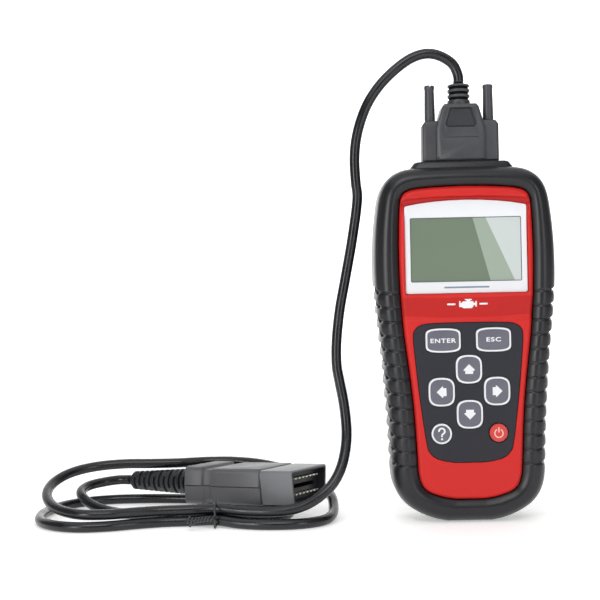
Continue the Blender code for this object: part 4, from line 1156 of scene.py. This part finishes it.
def make_obd_relief():
    """A tapered sleeve whose rings are each joined to the next by two short webs, turned in steps."""
    rings, pitch = 12, 3.62
    for k in range(rings):
        x = 2.2 + pitch * k
        radius = 5.2 + 2.4 * (k + 0.5) / rings
        profile = [(x, radius - 1.1), (x + 0.1, radius - 0.35), (x + 0.5, radius), (x + 1.7, radius),
                   (x + 2.1, radius - 0.35), (x + 2.2, radius - 1.1)]
        ring = turned(f"relief_ring_{k + 1:02d}", profile, (0, 0), "X", BLACK, 40, 30.0)
        place_obd(ring)
        if k < rings - 1:
            turn = 90.0 * (k % 2) + 45.0
            for flip in (0.0, 180.0):
                a = math.radians(turn + flip)
                r = radius - 0.75
                web = box(f"relief_web_{k + 1:02d}_{int(flip)}", (x + 1.9, -1.7, r - 0.7),
                          (x + pitch + 0.2, 1.7, r + 0.7), BLACK)
                web.data.transform(Matrix.Rotation(a, 4, "X"))
                place_obd(web)
    core = turned("relief_core", [(0.3, 3.0), (0.6, 3.6), (2.2, 4.0), (47.6, 5.9), (48.5, 7.4)],
                  (0, 0), "X", BLACK, 32, 30.0)
    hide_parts("obd_strain_relief")
    place_obd(core)


OBD_SHELL = finish("shell_grey", (0.18, 0.183, 0.195), 0.42, grain=(1800.0, 0.3))


def at_contact(i, row, shape):
    """A section moved to one of the eight contact places of the upper (1) or lower (-1) row."""
    y, z = (i - 3.5) * 4.0, row * 4.2
    return [(y + a, z + b) for a, b in shape]


def make_obd_shell():
    outer, inner = (19.7, 9.2, 1.6, 17.6), (18.2, 7.7, 1.0, 16.1)
    stations = [
        (98.7, section(18.9, 8.4, 1.4, 16.8)), (99.2, section(19.5, 9.0, 1.6, 17.4)),
        (99.6, section(*outer)), (118.1, section(*outer)), (118.5, section(19.4, 8.9, 1.5, 17.3)),
        (118.5, section(18.4, 7.9, 1.1, 16.3)), (118.2, section(*inner)), (102.2, section(*inner)),
    ]
    shell = along_x("obd_sleeve", stations, OBD_SHELL, 35.0)
    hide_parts("obd_shell")
    place_obd(shell)
    skin, bore = section(18.9, 8.4, 1.4, 16.8), section(18.1, 7.6, 1.0, 16.0)
    stations = [(102.5, skin), (118.4, skin), (118.65, section(18.7, 8.2, 1.3, 16.6)),
                (118.65, section(18.3, 7.8, 1.1, 16.2)), (118.4, bore), (103.0, bore)]
    liner = along_x("obd_liner", stations, BLACK, 30.0)
    place_obd(liner)
    block = along_x("obd_block", [(102.0, bore), (113.7, bore), (114.0, section(17.8, 7.3, 0.8, 15.7))],
                    BLACK, 35.0)
    key_way = section(13.6, 1.1, 0.4)
    cut(block, along_x("key_way", [(x, key_way) for x in (106.0, 120.0)], None))
    for row in (-1, 1):
        for i in range(8):
            hole = at_contact(i, row, section(1.25, 0.9, 0.2))
            cut(block, along_x("pocket", [(x, hole) for x in (106.5, 120.0)], None))
    smooth_again(block, 30.0)
    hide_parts("obd_insert")
    place_obd(block)


def make_obd_contacts():
    for row, where in ((1, "upper"), (-1, "lower")):
        for i in range(8):
            shaft = at_contact(i, row, section(0.9, 0.45, 0.1, count=2))
            tip = at_contact(i, row, section(0.7, 0.3, 0.05, count=2))
            blade = along_x(f"obd_pin_{where}_{i + 1}", [(104.0, shaft), (115.6, shaft), (116.0, tip)],
                            TIN, 40.0)
            place_obd(blade)
        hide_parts(f"obd_contacts_{where}")


make_obd_covers()
make_obd_relief()
make_obd_shell()
make_obd_contacts()


# ---- the wire tie
TIE = finish("tie_jacket", (0.035, 0.036, 0.04), 0.35, grain=(900.0, 0.1))


def make_tie():
    """A plastic-covered wire pulled round the strands, its two ends twisted together and splayed."""
    x = -133.6
    front, back, low, high = -18.6, -2.6, 0.6, 12.6
    loop = [(x, front + 0.1, 6.6), (x, front + 1.0, 9.4), (x, -15.0, high - 0.5), (x, -10.6, high),
            (x, -6.4, 11.0), (x, back - 0.4, 7.0), (x, back, 3.2), (x, back - 1.6, low + 0.1),
            (x, -10.0, low), (x, front + 1.6, low + 0.1), (x, front - 0.1, 2.2), (x, front - 0.2, 5.0)]
    ends = []
    for phase in (0.0, math.pi):
        strand = []
        for k in range(17):
            t = k / 16
            angle = phase + 2 * math.pi * 3.5 * t
            wide = 0.95 * (1.0 + 2.2 * max(t - 0.7, 0) * 3)
            strand.append((x - 1.5 - 12.0 * t, front - 1.2 + wide * math.cos(angle) - 0.3 * t,
                           5.8 + wide * math.sin(angle) - 1.5 * t * t))
        ends.append(strand)
    route = list(reversed(ends[1])) + loop + ends[0]
    path = evenly(catmull(route, per_span=6), 260)
    tie = loft("wire_tie", tube_rings(path, 0.6, 10), TIE, 60.0)
    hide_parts("cable_tie")
    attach(tie, "handset")


make_tie()


# ---- pieces of the frame that are seen as they are
def dress(mat, *names):
    for name in names:
        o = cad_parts[name]
        for place in o.material_slots:
            place.material = mat


def make_hidden_looks():
    dress(RED, "rear_shell")
    dress(LCD, "lcd_glass")
    dress(WHITE, "lcd_backlight")
    dress(finish("ribbon_amber", (0.35, 0.15, 0.03), 0.35), "lcd_ribbon")
    dress(SILICONE, "key_mat")
    dress(BOARD, "main_board")
    dress(BLACK, "processor_chip", "memory_chip", "transceiver_chip", "voltage_regulator", "buzzer",
          "port_insert", "db15_insert")
    dress(STEEL, "crystal", "capacitor", "case_screw_upper_left", "case_screw_upper_right",
          "case_screw_lower_left", "case_screw_lower_right", "port_shell", "jack_nut_left",
          "jack_nut_right", "db15_shell")


make_hidden_looks()
